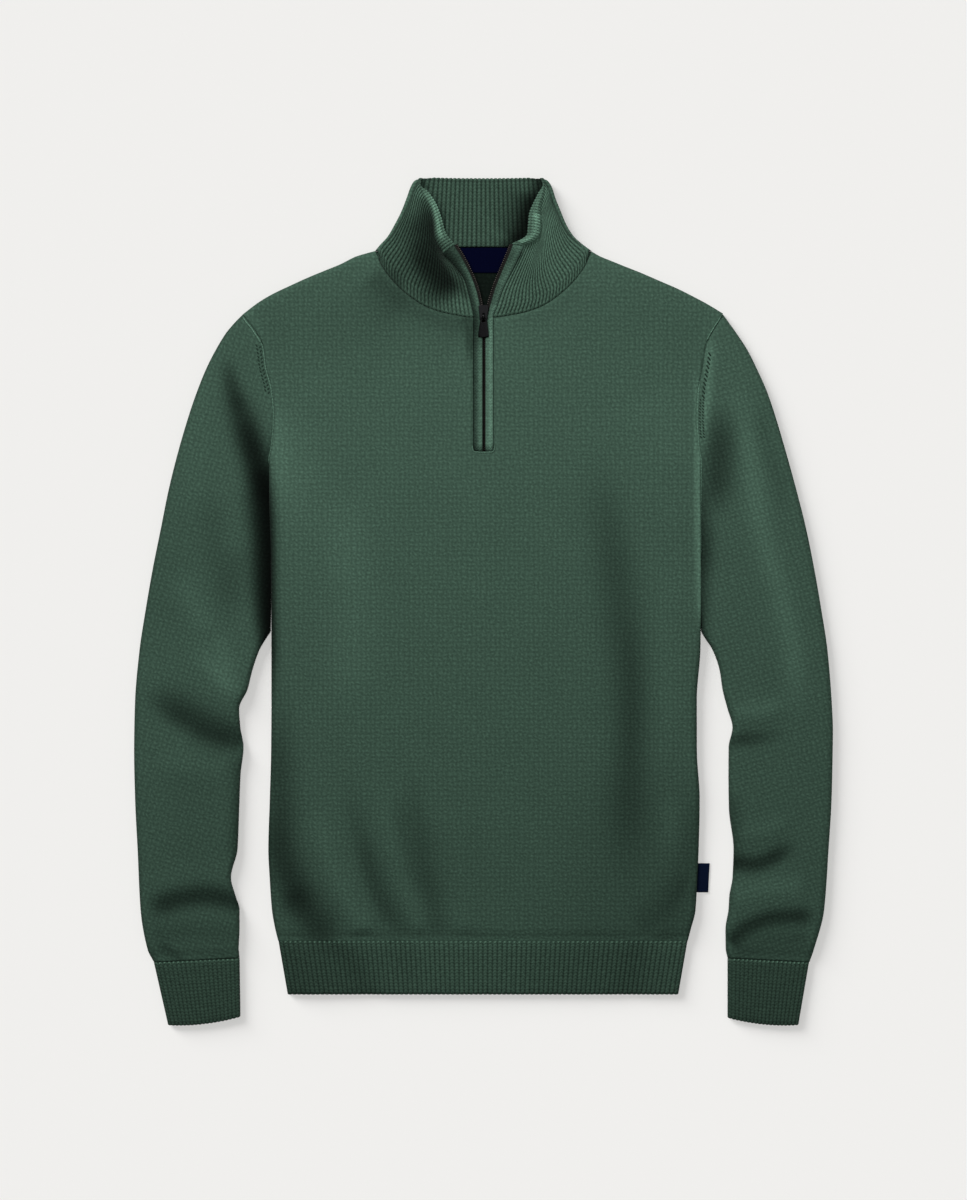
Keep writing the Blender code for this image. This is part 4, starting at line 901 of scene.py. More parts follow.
def sleeve_surface(side, x, y):
    """Height and tone of a sleeve's upper side."""
    height, tone = folds(SLEEVE_FOLDS[side], x, y)
    seam = np.concatenate([armhole(side)[::3], [(SIGN[side] * GAP_X, gap_y) for gap_y in GAP_YS]])
    from_seam, share, _ = nearest(seam, x, y)
    seam_y = np.interp(share, run_of(seam) / run_of(seam)[-1], seam[:, 1])
    edge, reach, edge_tone = (read(SEAM_DIVE[side], column, -seam_y) for column in (1, 2, 3))
    loft = edge + (SLEEVE_LOFT + height - edge) * rolled(from_seam, reach)
    loft = CUFF_LOFT + (loft - CUFF_LOFT) * eased((y - CUFF_SEAM_Y) / CUFF_FADE)
    return np.maximum(FLAT_MIN, loft), tone + edge_tone * bell(from_seam, 0.8 * reach)


print("folds on the sleeves:", {NAMES[side]: len(table) for side, table in SLEEVE_FOLDS.items()})


# %% Flattened tubes
HOLLOW_MIN = 0.3
EDGE_THIN = 3.5
SLEEVE_TURN = math.radians(17.0)


def all_round(upper, lower):
    """One grid whose columns run over the upper side and back under the lower one."""
    return np.concatenate([upper, lower[:, -2:0:-1]], axis=1)


def flat_tube(plan, loft, tone, shares, thick):
    """Outer and inner grid of a flattened tube, and its tone. Only the right tube's outer edge meets the light."""
    way = plan[:, -1] - plan[:, 0]
    from_edge = np.minimum(shares, 1 - shares) * np.linalg.norm(way, axis=1)[:, None]
    inward = np.where(shares < 0.5, 1.0, -1.0)[None, :, None] * unit(way)[:, None, :]
    hollow = plan + inward * (thick * np.exp(-from_edge / EDGE_THIN))[..., None]
    upper = SIDE_HEIGHT + (loft - SIDE_HEIGHT) * rolled(from_edge, ROLL)
    lower = SIDE_HEIGHT * (1 - rolled(from_edge, ROLL / 2))
    hollow_upper = SIDE_HEIGHT + (loft - thick - SIDE_HEIGHT) * rolled(from_edge, ROLL)
    hollow_lower = np.minimum(thick, hollow_upper - HOLLOW_MIN)
    outer = all_round(lifted(plan, upper), lifted(plan, lower))
    inner = all_round(lifted(hollow, hollow_upper), lifted(hollow, hollow_lower))
    lit = (plan[0, 0, 0] > 0) & (shares < 0.5)
    tone = tone + rim_tone(from_edge) * ~lit
    return outer, inner, all_round(tone, 0 * tone)


def turned_cut(plan):
    """The cut map of a sleeve: its plan, turned so that the rows of stitches lie across the sleeve."""
    turn = -SLEEVE_TURN * np.sign(plan[0, 0, 0])
    x, y = plan[..., 0], plan[..., 1]
    return grid_of(x * math.cos(turn) - y * math.sin(turn), x * math.sin(turn) + y * math.cos(turn))


# %% Make the sleeves
SLEEVE_COLUMNS, SLEEVE_WIDTH = 62, 180.0

shares = places_between(0.0, SLEEVE_WIDTH, SLEEVE_WIDTH / SLEEVE_COLUMNS) / SLEEVE_WIDTH
for side in (LEFT, RIGHT):
    plan = sleeve_plan(side, shares)
    loft, tone = sleeve_surface(side, plan[..., 0], plan[..., 1])
    outer, inner, tone = flat_tube(plan, loft, tone, shares, WALL)
    cut = turned_cut(plan)
    sleeve = make_piece(f"sleeve_{NAMES[side]}_tube", outer, inner, body_knit, f"sleeve_{NAMES[side]}",
                        cut=all_round(cut, cut), tone=tone, tube=True)

# %% [markdown]
# ## Ribs
# The hem, the cuffs and the collar are ribbed. A rib is too large for a bump map to carry: its shadow is what
# makes the cloth look ribbed. So each rib is modelled, with seven points across it, round on top and with a
# narrow groove beside it.

# %% Ribs
RIB_STEPS = (0.0, 0.08, 0.22, 0.40, 0.60, 0.78, 0.92)
RIB_RELIEF, RIB_SQUARENESS = 1.0, 2.2
# RIB_TONE and COLLAR_RIB_TONE, and CUFF_RIB_TONE below, are painted shade in the ribs' grooves, in stops. CUFF_TONE
# makes each cuff darker as a whole.
RIB_TONE, COLLAR_RIB_TONE = 1.15, 1.55
CUFF_TONE, CUFF_RIB_TONE = {LEFT: -0.38, RIGHT: -0.50}, {LEFT: 0.8, RIGHT: 0.35}
RIB_PITCH = 4.5


def ribs(count):
    """Places across a row of ribs, and the rise from 0 in a groove to 1 on a crest."""
    at = np.append((np.arange(count)[:, None] + np.array(RIB_STEPS)).ravel(), count)
    crest = 1 - np.abs(2 * (at % 1) - 1) ** RIB_SQUARENESS
    return at / count, crest


print("points across a rib:", len(RIB_STEPS))

# %% Hem
HEM_TOP_HALF, HEM_FOOT_HALF = {LEFT: 199.2, RIGHT: 198.2}, {LEFT: 190.2, RIGHT: 189.2}
HEM_FOOT_Y, HEM_RIBS = -381.2, 84
HEM_EDGE, HEM_GAP = SIDE_HEIGHT + 0.8, 0.02
HEM_BACK_TOP, HEM_BACK_ROUND, HEM_BACK_GROOVE = 2.6, 1.5, 0.35
# share of the depth from the seam to the foot, and how far the surface lies below the ribs' crests
HEM_PROFILE = ((0, 0.15), (0.02, 0), (0.9, 0), (0.955, 0.3), (0.98, 0.9), (1, 2))
RIB_DEPTHS = np.array([0, 0.01, 0.02, 0.035, 0.05, 0.075, 0.1, 0.2, 0.3, 0.4, 0.5, 0.6, 0.7, 0.8, 0.87, 0.92, 0.95,
                       0.97, 0.985, 0.995, 1])[:, None]
FOOT_SCALLOP = 0.5
LEFT_SHADE, LEFT_SHADE_REACH = 0.2, 150.0
# points, half width to the left and right, height, tone (painted shade below 0, painted highlight above 0), share
# that fades at the start and at the end
HEM_FOLDS = (
    ((-198, -325, -195, -352, -190, -385), 60, 60, 0, -0.42, 0, 0),
    ((126, -329, 122, -352, 118, -385), 70, 90, 0, -0.34, 0, 0),
    ((-150, -329, -128, -352, -112, -381), 12, 12, -0.7, -0.3, 0, 0),
    ((-84, -329, -76, -352, -70, -381), 12, 12, -0.5, -0.12, 0, 0.3),
    ((150, -329, 146, -352, 140, -381), 14, 14, -0.6, -0.25, 0, 0),
    ((-180, -329, -172, -352, -165, -381), 10, 10, 0.5, 0.06, 0, 0),
)


def profile(table):
    """How far a ribbed surface lies below its crests, at each depth."""
    return np.interp(RIB_DEPTHS, *np.transpose(table))


def hem_line(share, depth):
    """x at a share of the hem's width, and at a share of its depth."""
    left, right = (HEM_TOP_HALF[s] + depth * (HEM_FOOT_HALF[s] - HEM_TOP_HALF[s]) for s in (LEFT, RIGHT))
    return -left + share * (left + right)


at, crest = ribs(HEM_RIBS)
top_y = HEM_SEAM_Y - HEM_GAP
scallop = FOOT_SCALLOP * crest * np.clip((RIB_DEPTHS - 0.9) / 0.1, 0, 1)
plan = grid_of(hem_line(at, RIB_DEPTHS), top_y - RIB_DEPTHS * (top_y - HEM_FOOT_Y - FOOT_SCALLOP) - scallop)
x, y = plan[..., 0], plan[..., 1]
height, tone = folds(HEM_FOLDS, x, y)
from_edge = np.minimum(x - x[:, :1], x[:, -1:] - x)
loft = HEM_LOFT + RIB_RELIEF * crest - profile(HEM_PROFILE) + height
top = HEM_EDGE + (loft - HEM_EDGE) * rolled(from_edge, ROLL)
tone = tone - LEFT_SHADE * np.clip(-x / LEFT_SHADE_REACH, 0, 1) - RIB_TONE * (1 - crest) ** 2
tone = tone + rim_tone(from_edge) + seam_tone(y)
cut = grid_of(at * HEM_RIBS * RIB_PITCH, -run_of(plan[:, 0])[:, None])
hem_front = make_piece("hem_rib_front", lifted(plan, top), lifted(plan, HEM_BACK_TOP + SEAM), rib_knit, "hem_front",
                       cut=cut, tone=tone)

at_foot = np.clip((RIB_DEPTHS - 0.95) / 0.05, 0, 1)
low = HEM_BACK_TOP - HEM_BACK_ROUND * at_foot ** 2 - HEM_BACK_GROOVE * (1 - crest)
hem_back = make_piece("hem_rib_back", lifted(plan, low), lifted(plan, 0.0), rib_knit, "hem_back", cut=cut)

# %% [markdown]
# A cuff is a ribbed tube. Its ribs run all round, so the underside has them too, pressed flat by the floor.

# %% Cuffs
CUFF_RIBS = 19
# x and y of a cuff's corners: outer top, outer foot, inner foot, inner top
CUFFS = {
    LEFT: ((-320.3, -349.9), (-306.5, -411), (-236.3, -402.9), (-237.2, CUFF_SEAM_Y)),
    RIGHT: ((316.3, -349.9), (306, -410.8), (237.2, -403.9), (237.2, CUFF_SEAM_Y)),
}
CUFF_SAG, CUFF_DEPTH, CUFF_WALL, CUFF_SWELL = 2.9, 61.0, 2.1, 0.5
CUFF_PROFILE = ((0, 0.4), (0.02, 0), (0.9, 0), (0.955, 0.2), (0.98, 0.8), (1, 1.9))
CUFF_SEAM_TONE, CUFF_SEAM_REACH = 0.5, 0.05


def cuff_plan(side, at, crest):
    """Plan points of a cuff, rows from its seam to its foot, which sags between the corners."""
    outer_top, outer_foot, inner_foot, inner_top = CUFFS[side]
    top = np.outer(1 - at, outer_top) + np.outer(at, inner_top)
    foot = np.outer(1 - at, outer_foot) + np.outer(at, inner_foot)
    foot[:, 1] += FOOT_SCALLOP * (1 - crest) - CUFF_SAG * 4 * at * (1 - at)
    return top + RIB_DEPTHS[..., None] * (foot - top)


at, crest = ribs(CUFF_RIBS)
cut = grid_of(all_round(at[None], 2 - at[None]) * CUFF_RIBS * RIB_PITCH, -RIB_DEPTHS * CUFF_DEPTH)
loft = CUFF_LOFT + CUFF_SWELL + RIB_RELIEF * (crest - 1) - profile(CUFF_PROFILE)
at_seam = CUFF_SEAM_TONE * bell(RIB_DEPTHS, CUFF_SEAM_REACH)
for side in (LEFT, RIGHT):
    tone = CUFF_TONE[side] - CUFF_RIB_TONE[side] * (1 - crest) ** 2 + at_seam
    outer, inner, tone = flat_tube(cuff_plan(side, at, crest), loft, tone, at, CUFF_WALL)
    cuff = make_piece(f"cuff_{NAMES[side]}_tube", outer, inner, rib_knit, f"cuff_{NAMES[side]}",
                      cut=cut, tone=tone, tube=True)

# %% [markdown]
# ## Collar
# The collar is one ribbed strip, folded double at its top edge. It goes round the neck: a wing on each side of
# the zip, a fold over each shoulder and the inside of the back between them. The wings' ribs run from the neck
# seam up to the rolled edge, and they close up towards it. A Coons patch fills the four edges of a wing, so the
# ribs fan out by themselves.

# %% Sizes of the collar
# COLLAR_TONE lightens the whole collar, and COLLAR_BACK_TONE is painted shade on the inside of the back.
COLLAR_WALL, COLLAR_RELIEF, COLLAR_DEPTH, COLLAR_TONE = 3.2, 1.5, 72.0, 0.2
BACK_RIBS, WING_RIBS = 28, 27
COLLAR_TOP_Y, COLLAR_DIP, COLLAR_TOP_HALF, COLLAR_BACK_TONE = 411.3, 1.9, 60.0, -0.28
FOLD_INSET = 5.0
COLLAR_BACK_TOP = 3.3
WING_UNDER = 4.7
RIB_SPREAD, SIDE_SPREAD, OUTER_RIBS_FROM = 1.1, 0.055, 40.0
ROLL_FROM, ROLL_START, ROLL_TURN = 0.85, 0.97, (0.9, 0.3)
FOLD_TOP_Y = COLLAR_TOP_Y - 0.6
# where along a wing's depth its roll fades in and over what share; the width of its corner as a share
ROLL_FADE, CORNER_FADE = (0.84, 0.05), 0.1
# how much flatter the ribs are on the roll and at its corner, how much weaker the painted shade in their grooves is
# on the roll
FLATTER_ON_ROLL, FLATTER_AT_CORNER, PALER_ON_ROLL, GROOVE_WIDTH = 0.4, 0.8, 0.5, 1.6
BACK_TOP_HALF = {LEFT: 60.0, RIGHT: 56.0}
# side fold of the collar, from the front round to the underside: how far in from the outline, height
FOLD_SECTION = ((2.6, 8), (0.9, 6.4), (0, 4.2), (0.4, 2.4), (1.3, 1.1), (2.9, 0.3), (FOLD_INSET, 0))
FOLD_HOLLOW = (COLLAR_WALL + 1.2, COLLAR_BACK_TOP + 0.9)

# height y, left outline, right outline
COLLAR_SIDE = (
    (341, 105.2, 104.8), (346.5, 100.6, 97.2), (355, 92.9, 87.6), (367, 86, 80.2), (378, 80.3, 75.6),
    (393, 74.4, 69.6), (402, 71.2, 66.8), (407.4, 68.4, 63.8), (411.3, 64.5, 60.2),
)

# where the rolled top edge of a wing starts, then where it ends, from the side fold to the zip
ROLL_OUTER = {
    LEFT: (
        (-60.1, 410.7), (-62.6, 404.5), (-60.2, 397), (-55.8, 386.5), (-50.8, 375), (-48.8, 365), (-48.4, 355),
        (-45.8, 347.5), (-41.2, 341), (-39.6, 337.9),
    ),
    RIGHT: (
        (55.4, 410.7), (59.6, 404), (59, 396), (56.8, 386), (55.8, 376), (56.2, 365), (55.2, 357), (51, 350.5),
        (45.5, 346.8), (39.8, 344.6),
    ),
}
ROLL_INNER = {
    LEFT: ((-60, 411), (-61, 404.5), (-54.4, 396.4), (-46.2, 383), (-41.7, 370.6), (-38, 357), (-28.9, 345.7)),
    RIGHT: (
        (55, 411), (57.6, 404.5), (54, 395), (49.2, 385), (45.6, 375.4), (44.6, 365.7), (43.8, 356), (37.4, 350.4),
        (28.9, 347),
    ),
}

# share of a wing's depth from seam to top, then height at the side fold, a third in, two thirds in, at the zip
WING_HEIGHTS = {
    LEFT: (
        (0, 6, 6.2, 6.2, 6.4, 6.6), (0.06, 7.4, 8.2, 7.8, 7.4, 7.2), (0.2, 8.4, 11, 9.8, 8.2, 7.4),
        (0.42, 8.8, 13.6, 10, 8.2, 8.4), (0.62, 8.8, 13.4, 8.4, 7.8, 9.4), (0.75, 8.8, 12, 7.6, 8, 10.4),
        (0.83, 8.8, 11.2, 8.4, 9, 11.4), (0.86, 8.8, 12, 12, 12.2, 12), (0.895, 8.8, 14.6, 15.8, 15.8, 12.6),
        (0.93, 8.8, 15.8, 17.4, 17.2, 13.6), (0.965, 8.7, 15.2, 17, 16.8, 13.4), (1, 8.4, 12.8, 13.8, 13.8, 12.2),
    ),
    RIGHT: (
        (0, 6, 6.2, 6.2, 6.4, 6.6), (0.06, 7.4, 8, 8, 7.8, 7.6), (0.2, 8.4, 10.4, 10.4, 9.8, 9),
        (0.42, 8.8, 12.6, 12, 10.6, 10), (0.62, 8.8, 13, 11.8, 10.6, 10.8), (0.75, 8.8, 12.2, 10.6, 10.2, 11.4),
        (0.83, 8.8, 11.4, 10, 10.2, 11.8), (0.86, 8.8, 12.2, 12.4, 12.8, 12.4), (0.895, 8.8, 15, 16.2, 16.4, 13),
        (0.93, 8.8, 16.2, 17.8, 18, 14), (0.965, 8.7, 15.6, 17.4, 17.6, 13.8), (1, 8.4, 12.8, 13.8, 14, 12.4),
    ),
}
WING_STATIONS = (0.0, 0.33, 0.67, 0.9, 1.0)
# folds of tone only, rows as in BODY_FOLDS: painted shade in the wings' valleys and below the rolled edges, painted
# highlight along the rolled edges
COLLAR_TONES = {
    LEFT: (
        ((-62, 400, -52, 372, -47, 348, -34, 322, -18, 292), 4, 40, 0, -1.15, 0.35, 0.2),
        ((-53, 386, -51, 366, -50, 346, -38, 322, -22, 296), 3, 17, 0, -1.35, 0.25, 0.2),
        ((-52, 352, -60, 337, -56, 325, -46, 313, -32, 303, -20, 294), 12, 12, 0, -1.15, 0.35, 0.35),
        ((-120, 324, -98, 312, -74, 303), 18, 18, 0, -0.85, 0.1, 0.3),
        ((-32, 329, -23, 317, -19, 303, -16, 292), 3.5, 3.5, 0, -0.8, 0.2, 0.1),
        ((-50, 350, -46, 342, -40, 337), 3, 3, 0, -0.6, 0.4, 0),
        ((-61, 394, -57, 381, -54, 368), 5, 5, 0, -0.5, 0.3, 0.3),
        ((-62, 406, -57, 396, -48, 386, -44.5, 371, -42, 356, -37, 349), 4.5, 4.5, 0, 1.15, 0.4, 0.15),
    ),
    RIGHT: (
        ((66, 388, 64, 366, 59, 350, 51, 334, 41, 318), 12, 9, 0, 0.42, 0.2, 0.3),
        ((92, 350, 80, 330, 60, 305), 14, 14, 0, 0.12, 0.25, 0.2),
        ((61, 404, 58.5, 395, 54.5, 385, 51.5, 375), 5, 4, 0, 0.6, 0.1, 0),
        ((51.5, 376, 52.5, 366, 51.5, 357, 46, 350.5, 34, 347), 5, 4, 0, 1.2, 0.05, 0.05),
    ),
}
# painted shadow of the rolled edges on the inside of the back, rows as in BODY_FOLDS
BACK_TONES = (
    ((58, 409, 57, 402, 50.5, 390, 45, 378, 42, 366, 38, 355, 27, 344), 6, 9, 0, -2.5, 0, 0),
    ((53, 400, 48, 386, 43, 371, 38, 356, 28, 345), 6, 22, 0, -1.35, 0.25, 0.15),
    ((-66, 408, -56, 390, -47, 376, -41, 362), 9, 8, 0, -1.1, 0.1, 0.2),
    ((-40, 347, 0, 346, 40, 347), 3, 3, 0, -0.15, 0, 0),
)
CORNER_ROUND, CORNER_CENTRE = 3.5, {LEFT: (-61.0, 407.8), RIGHT: (56.7, 407.8)}


# height y and x on a facing's outer edge, height y and x on its inner edge, height of its crown
BAND_ROWS = {
    LEFT: (
        (146.2, -9.7, 146.2, -1.1, 7.6), (262, -9.7, 262, -1.1, 7.8), (276.7, -9.7, 274, -1.7, 8.2),
        (288.1, -11.6, 284.7, -3.2, 9), (300, -14.4, 298, -5.9, 10.4), (312.3, -18.2, 311.5, -10.3, 12),
        (324.9, -27.2, 325.5, -16.9, 13.8), (331.5, -33.2, 334.5, -21.8, 14.6), (337.2, -39.2, 345, -28.5, 13.8),
    ),
    RIGHT: (
        (146.2, 9.7, 146.2, 1.9, 7.6), (262, 9.7, 262, 1.9, 7.8), (276.7, 9.7, 274, 3.2, 8.2),
        (286, 13.1, 287, 6.4, 9), (300, 17.8, 303, 11.2, 10.4), (315.3, 25, 318.5, 17.3, 12.4),
        (324.9, 30, 328.5, 21.6, 13.8), (334.2, 34.6, 337.5, 25.4, 14.6), (343.8, 39.2, 346.2, 28.8, 13.8),
    ),
}
CLOSED_ROWS = 3
print("ribs of the collar:", BACK_RIBS, "at the back and", WING_RIBS, "on each wing")


def zip_line(side, shares=None):
    """Outer and inner edge of a facing in plan and the height of its crown. Shares run from row to row."""
    rows = np.array(BAND_ROWS[side])
    if shares is not None:
        at = shares * (len(rows) - 1)
        rows = np.stack([smooth(np.arange(len(rows)), rows[:, k], at) for k in range(5)], axis=1)
    return rows[:, [1, 0]], rows[:, [3, 2]], rows[:, 4]


def facing_end(side):
    """The two upper corners of a facing, moved off it by the seam."""
    outer, inner, _ = zip_line(side)
    across = unit(outer[-1] - inner[-1])
    beyond = np.array([across[1], -across[0]])
    beyond *= np.sign(beyond[1])
    return outer[-1] + CURVED_SEAM * (beyond + across), inner[-1] + CURVED_SEAM * beyond


# %% Plan of the collar
def side_fold(side, share):
    """Plan points of the collar's outline on one side, from the neck seam up."""
    first, last = COLLAR_SIDE[0][0], COLLAR_SIDE[-1][0]
    y = first + share * (last - first)
    return grid_of(SIGN[side] * read(COLLAR_SIDE, side, y), y)


def wing_edges(side):
    """The four edges of a wing in plan: seam, rolled top, side fold and zip edge."""
    sign = SIGN[side]
    x = np.linspace(NECK_HALF, SLIT_HALF, 60)
    seam = beside(grid_of(sign * x, read(NECKLINE, 1, x)), -sign * CURVED_SEAM)
    start_x = side_fold(side, 0.0)[0] * sign - FOLD_INSET
    start_y = np.interp(start_x, np.abs(seam[::-1, 0]), seam[::-1, 1])
    seam = np.concatenate([[(sign * start_x, start_y)], seam[np.abs(seam[:, 0]) < start_x]])
    y = np.linspace(start_y, FOLD_TOP_Y, 30)
    fold = grid_of(sign * (read(COLLAR_SIDE, side, y) - FOLD_INSET), y)
    rows = len(BAND_ROWS[side]) - 1
    zip_edge = zip_line(side, np.linspace((CLOSED_ROWS - 1) / rows, 1, 40))[0]
    zip_edge = beside(zip_edge, -sign * CURVED_SEAM)
    zip_edge[-1] = facing_end(side)[0]
    seam[-1] = zip_edge[0]
    return seam, bent(ROLL_OUTER[side], 40), fold, zip_edge


def wing_plan(side, a, v):
    """Plan points of a wing: a from the side fold to the zip, v from the seam to the rolled edge's end."""
    seam, roll, fold, zip_edge = wing_edges(side)
    roll[0], roll[-1] = fold[-1], zip_edge[-1]
    low, high = along(seam, a), along(roll, a)
    share, across = np.minimum(v / ROLL_FROM, 1.0), a[:, None]
    straight = low + share[:, None, None] * (high - low)
    sides = (1 - across) * along(fold, share)[:, None] + across * along(zip_edge, share)[:, None]
    corners = (1 - across) * straight[:, :1] + across * straight[:, -1:]
    inner = bent(ROLL_INNER[side], 40)
    inner[0] = roll[0] + (-SIGN[side] * ROLL_TURN[0], ROLL_TURN[1])
    inner[-1] = facing_end(side)[1]
    rest = np.clip((v - ROLL_FROM) / (1 - ROLL_FROM), 0, 1)[:, None, None]
    return straight + sides - corners + rest * (along(inner, a) - high)


def wing_height(side, a, v):
    """Heights of a wing at the same places as its plan."""
    table = np.array(WING_HEIGHTS[side])
    columns = np.stack([smooth(WING_STATIONS, row[1:], a) for row in table])
    return np.stack([smooth(table[:, 0], columns[:, k], v) for k in range(len(a))], axis=1)


def soft_corners(grid):
    """Rounds the two upper corners of the collar's outline: squares beside each corner become quarter discs."""
    for side in (LEFT, RIGHT):
        centre = np.array(CORNER_CENTRE[side])
        away = (grid[..., :2] - centre) * (SIGN[side], 1.0)
        inside = (away > 0).all(axis=-1)
        away = np.where(inside[..., None], away, 1.0)
        shrink = np.minimum(away.max(axis=-1), 3 * CORNER_ROUND) / np.linalg.norm(away, axis=-1)
        rounded = centre + away * shrink[..., None] * (SIGN[side], 1.0)
        grid[..., :2] = np.where(inside[..., None], rounded, grid[..., :2])
    return grid


def back_collar_y(x, share):
    """Height y in the back of the collar, from the neck seam to the top edge."""
    low = back_neck(x) + CURVED_SEAM
    high = COLLAR_TOP_Y - COLLAR_DIP * (1 - (x / COLLAR_TOP_HALF) ** 2)
    return low + share * (high - low)


print("depth of the collar at the back:", back_collar_y(0.0, 1.0) - back_collar_y(0.0, 0.0), "mm")

# %% Make the collar
COLLAR_DEPTHS = np.unique(np.concatenate([
    np.linspace(0, 0.08, 5), np.linspace(0.08, 0.8, 22), np.linspace(0.8, 1.0, 15),
]))
RIM_TURNS, RIM_FADE, RIM_STEP = np.linspace(0, math.pi, 8)[1:-1], 8.0, 0.7
FOLD_STEP = 0.01


def rounded_rim(upper, lower):
    """More rows after the last one that turn from the upper to the lower grid in a half circle."""
    edge = upper[-1]
    way = edge[:, :2] - upper[-3, :, :2]
    way /= np.maximum(np.linalg.norm(way, axis=1), 1e-6)[:, None]
    gap = lower[-1, :, 2] - edge[:, 2]
    to_corner = [np.linalg.norm(edge[:, :2] - CORNER_CENTRE[side], axis=1) for side in (LEFT, RIGHT)]
    fullness = np.clip((np.minimum(*to_corner) - CORNER_ROUND) / RIM_FADE, 0.1, 1)
    rows = []
    for turn in RIM_TURNS:
        out = fullness * np.abs(gap) / 2 * math.sin(turn)
        rows.append(lifted(edge[:, :2] + way * out[:, None], edge[:, 2] + gap * (1 - math.cos(turn)) / 2))
    return np.concatenate([upper, np.stack(rows)])


v = COLLAR_DEPTHS
climb = np.where(v <= ROLL_FROM, v / ROLL_FROM * ROLL_START,
                 ROLL_START + (v - ROLL_FROM) / (1 - ROLL_FROM) * (1 - ROLL_START))
wing_at, wing_crest = ribs(WING_RIBS)
back_at, back_crest = ribs(BACK_RIBS)
from_seam = np.clip(v / 0.05, 0.2, 1)[:, None]
on_roll = np.clip((v - ROLL_FADE[0]) / ROLL_FADE[1], 0, 1)[:, None]


def wing_layers(side):
    """Upper and lower grid and tone of a wing."""
    plan, height = wing_plan(side, wing_at, v), wing_height(side, wing_at, v)
    at_corner = on_roll * np.clip(1 - wing_at / CORNER_FADE, 0, 1)
    relief = COLLAR_RELIEF * (1 - FLATTER_ON_ROLL * on_roll) * (1 - FLATTER_AT_CORNER * at_corner)
    upper = lifted(plan, height + (wing_crest - 0.5) * relief * from_seam)
    lower = lifted(plan, np.maximum(WING_UNDER, height - COLLAR_WALL))
    tone = folds(COLLAR_TONES[side], plan[..., 0], plan[..., 1])[1] + COLLAR_TONE
    return upper, lower, tone - COLLAR_RIB_TONE * (1 - PALER_ON_ROLL * on_roll) * (1 - wing_crest) ** GROOVE_WIDTH


def fold_layers(side):
    """Upper and lower grid and tone of the fold at a side of the neck."""
    outline, inward = side_fold(side, climb), np.array([-SIGN[side], 0.0])
    inset, z = FOLD_HOLLOW
    steps = np.linspace(0, FOLD_STEP, len(FOLD_SECTION))
    upper = np.stack([lifted(outline + near * inward, high) for near, high in FOLD_SECTION], axis=1)
    lower = np.stack([lifted(outline + (inset + step) * inward, z) for step in steps], axis=1)
    return upper, lower, np.zeros(upper.shape[:2])


def back_layers():
    """Upper and lower grid and tone of the back of the collar. Its upper grid is the floor's side."""
    top_x = -BACK_TOP_HALF[LEFT] + back_at * (BACK_TOP_HALF[LEFT] + BACK_TOP_HALF[RIGHT])
    spread = RIB_SPREAD * top_x
    spread += np.sign(top_x) * SIDE_SPREAD * np.maximum(0, np.abs(top_x) - OUTER_RIBS_FROM) ** 2
    up = climb[:, None]
    rib_x = top_x + (1 - up) * (spread - top_x)
    inside = grid_of(rib_x, back_collar_y(rib_x, up))
    left, right = (np.abs(side_fold(side, climb)[:, :1]) - FOLD_INSET for side in (LEFT, RIGHT))
    low_x = -left + back_at * (left + right)
    under = grid_of(low_x, back_collar_y(low_x, up))
    tone = folds(BACK_TONES, *inside.T)[1].T + COLLAR_BACK_TONE - COLLAR_RIB_TONE * (1 - back_crest) ** GROOVE_WIDTH
    return lifted(under, 0.0), lifted(inside, COLLAR_BACK_TOP + back_crest * COLLAR_RELIEF), tone


strips = [[layer[:, ::-1] for layer in wing_layers(LEFT)], fold_layers(LEFT), back_layers(),
          [layer[:, ::-1] for layer in fold_layers(RIGHT)], wing_layers(RIGHT)]
upper, lower, tone = (np.concatenate([strip[k] for strip in strips], axis=1) for k in range(3))
in_fold = np.linspace(0.2, 0.8, len(FOLD_SECTION))
rib_parts = (1 - wing_at[::-1]) * WING_RIBS, in_fold, back_at * BACK_RIBS, in_fold, wing_at * WING_RIBS
rib_starts = np.cumsum([0, WING_RIBS, 1, BACK_RIBS, 1])
rib_at = np.concatenate([start + part for start, part in zip(rib_starts, rib_parts)]) * RIB_PITCH
upper, lower = soft_corners(upper), soft_corners(lower)
upper = rounded_rim(upper, lower)
extra = len(RIM_TURNS)
lower = np.pad(lower, ((0, extra), (0, 0), (0, 0)), mode="edge")
tone = np.pad(tone, ((0, extra), (0, 0)), mode="edge")
down = np.concatenate([v * COLLAR_DEPTH, COLLAR_DEPTH + np.arange(1, extra + 1) * RIM_STEP])
print("collar rows and columns", upper.shape[:2])
collar = make_piece("collar_rib", upper, lower, rib_knit, "collar", cut=grid_of(rib_at, down[:, None]), tone=tone)

# %% [markdown]
# ## Zip
# A narrow facing of plain knit frames the zip on each side, from the collar's top to the foot of the slit. Under
# it lies a black tape with the teeth on its edge.

# %% Facings
BAND_WALL, BAND_ROUND, BAND_WIDTH = 2.4, 1.3, 8.2
BAND_FOOT, BAND_FOOT_DROP = 3.0, 1.0
# how far under the wing's surface a facing's outer edge is turned in, and over what share of its width
TURN_DEPTH, TURN_SHARE = 1.6, 0.12
# share of a facing's width from its outer edge, tone: painted shade and painted highlight that round the facing
BAND_TONE = {
    LEFT: ((0, -1.4), (0.1, -1.2), (0.3, -0.9), (0.54, 0), (0.77, 0.6), (1, 0.5)),
    RIGHT: ((0, 0.2), (0.18, 0.84), (0.41, 0.94), (0.65, 0.5), (1, 0.3)),
}
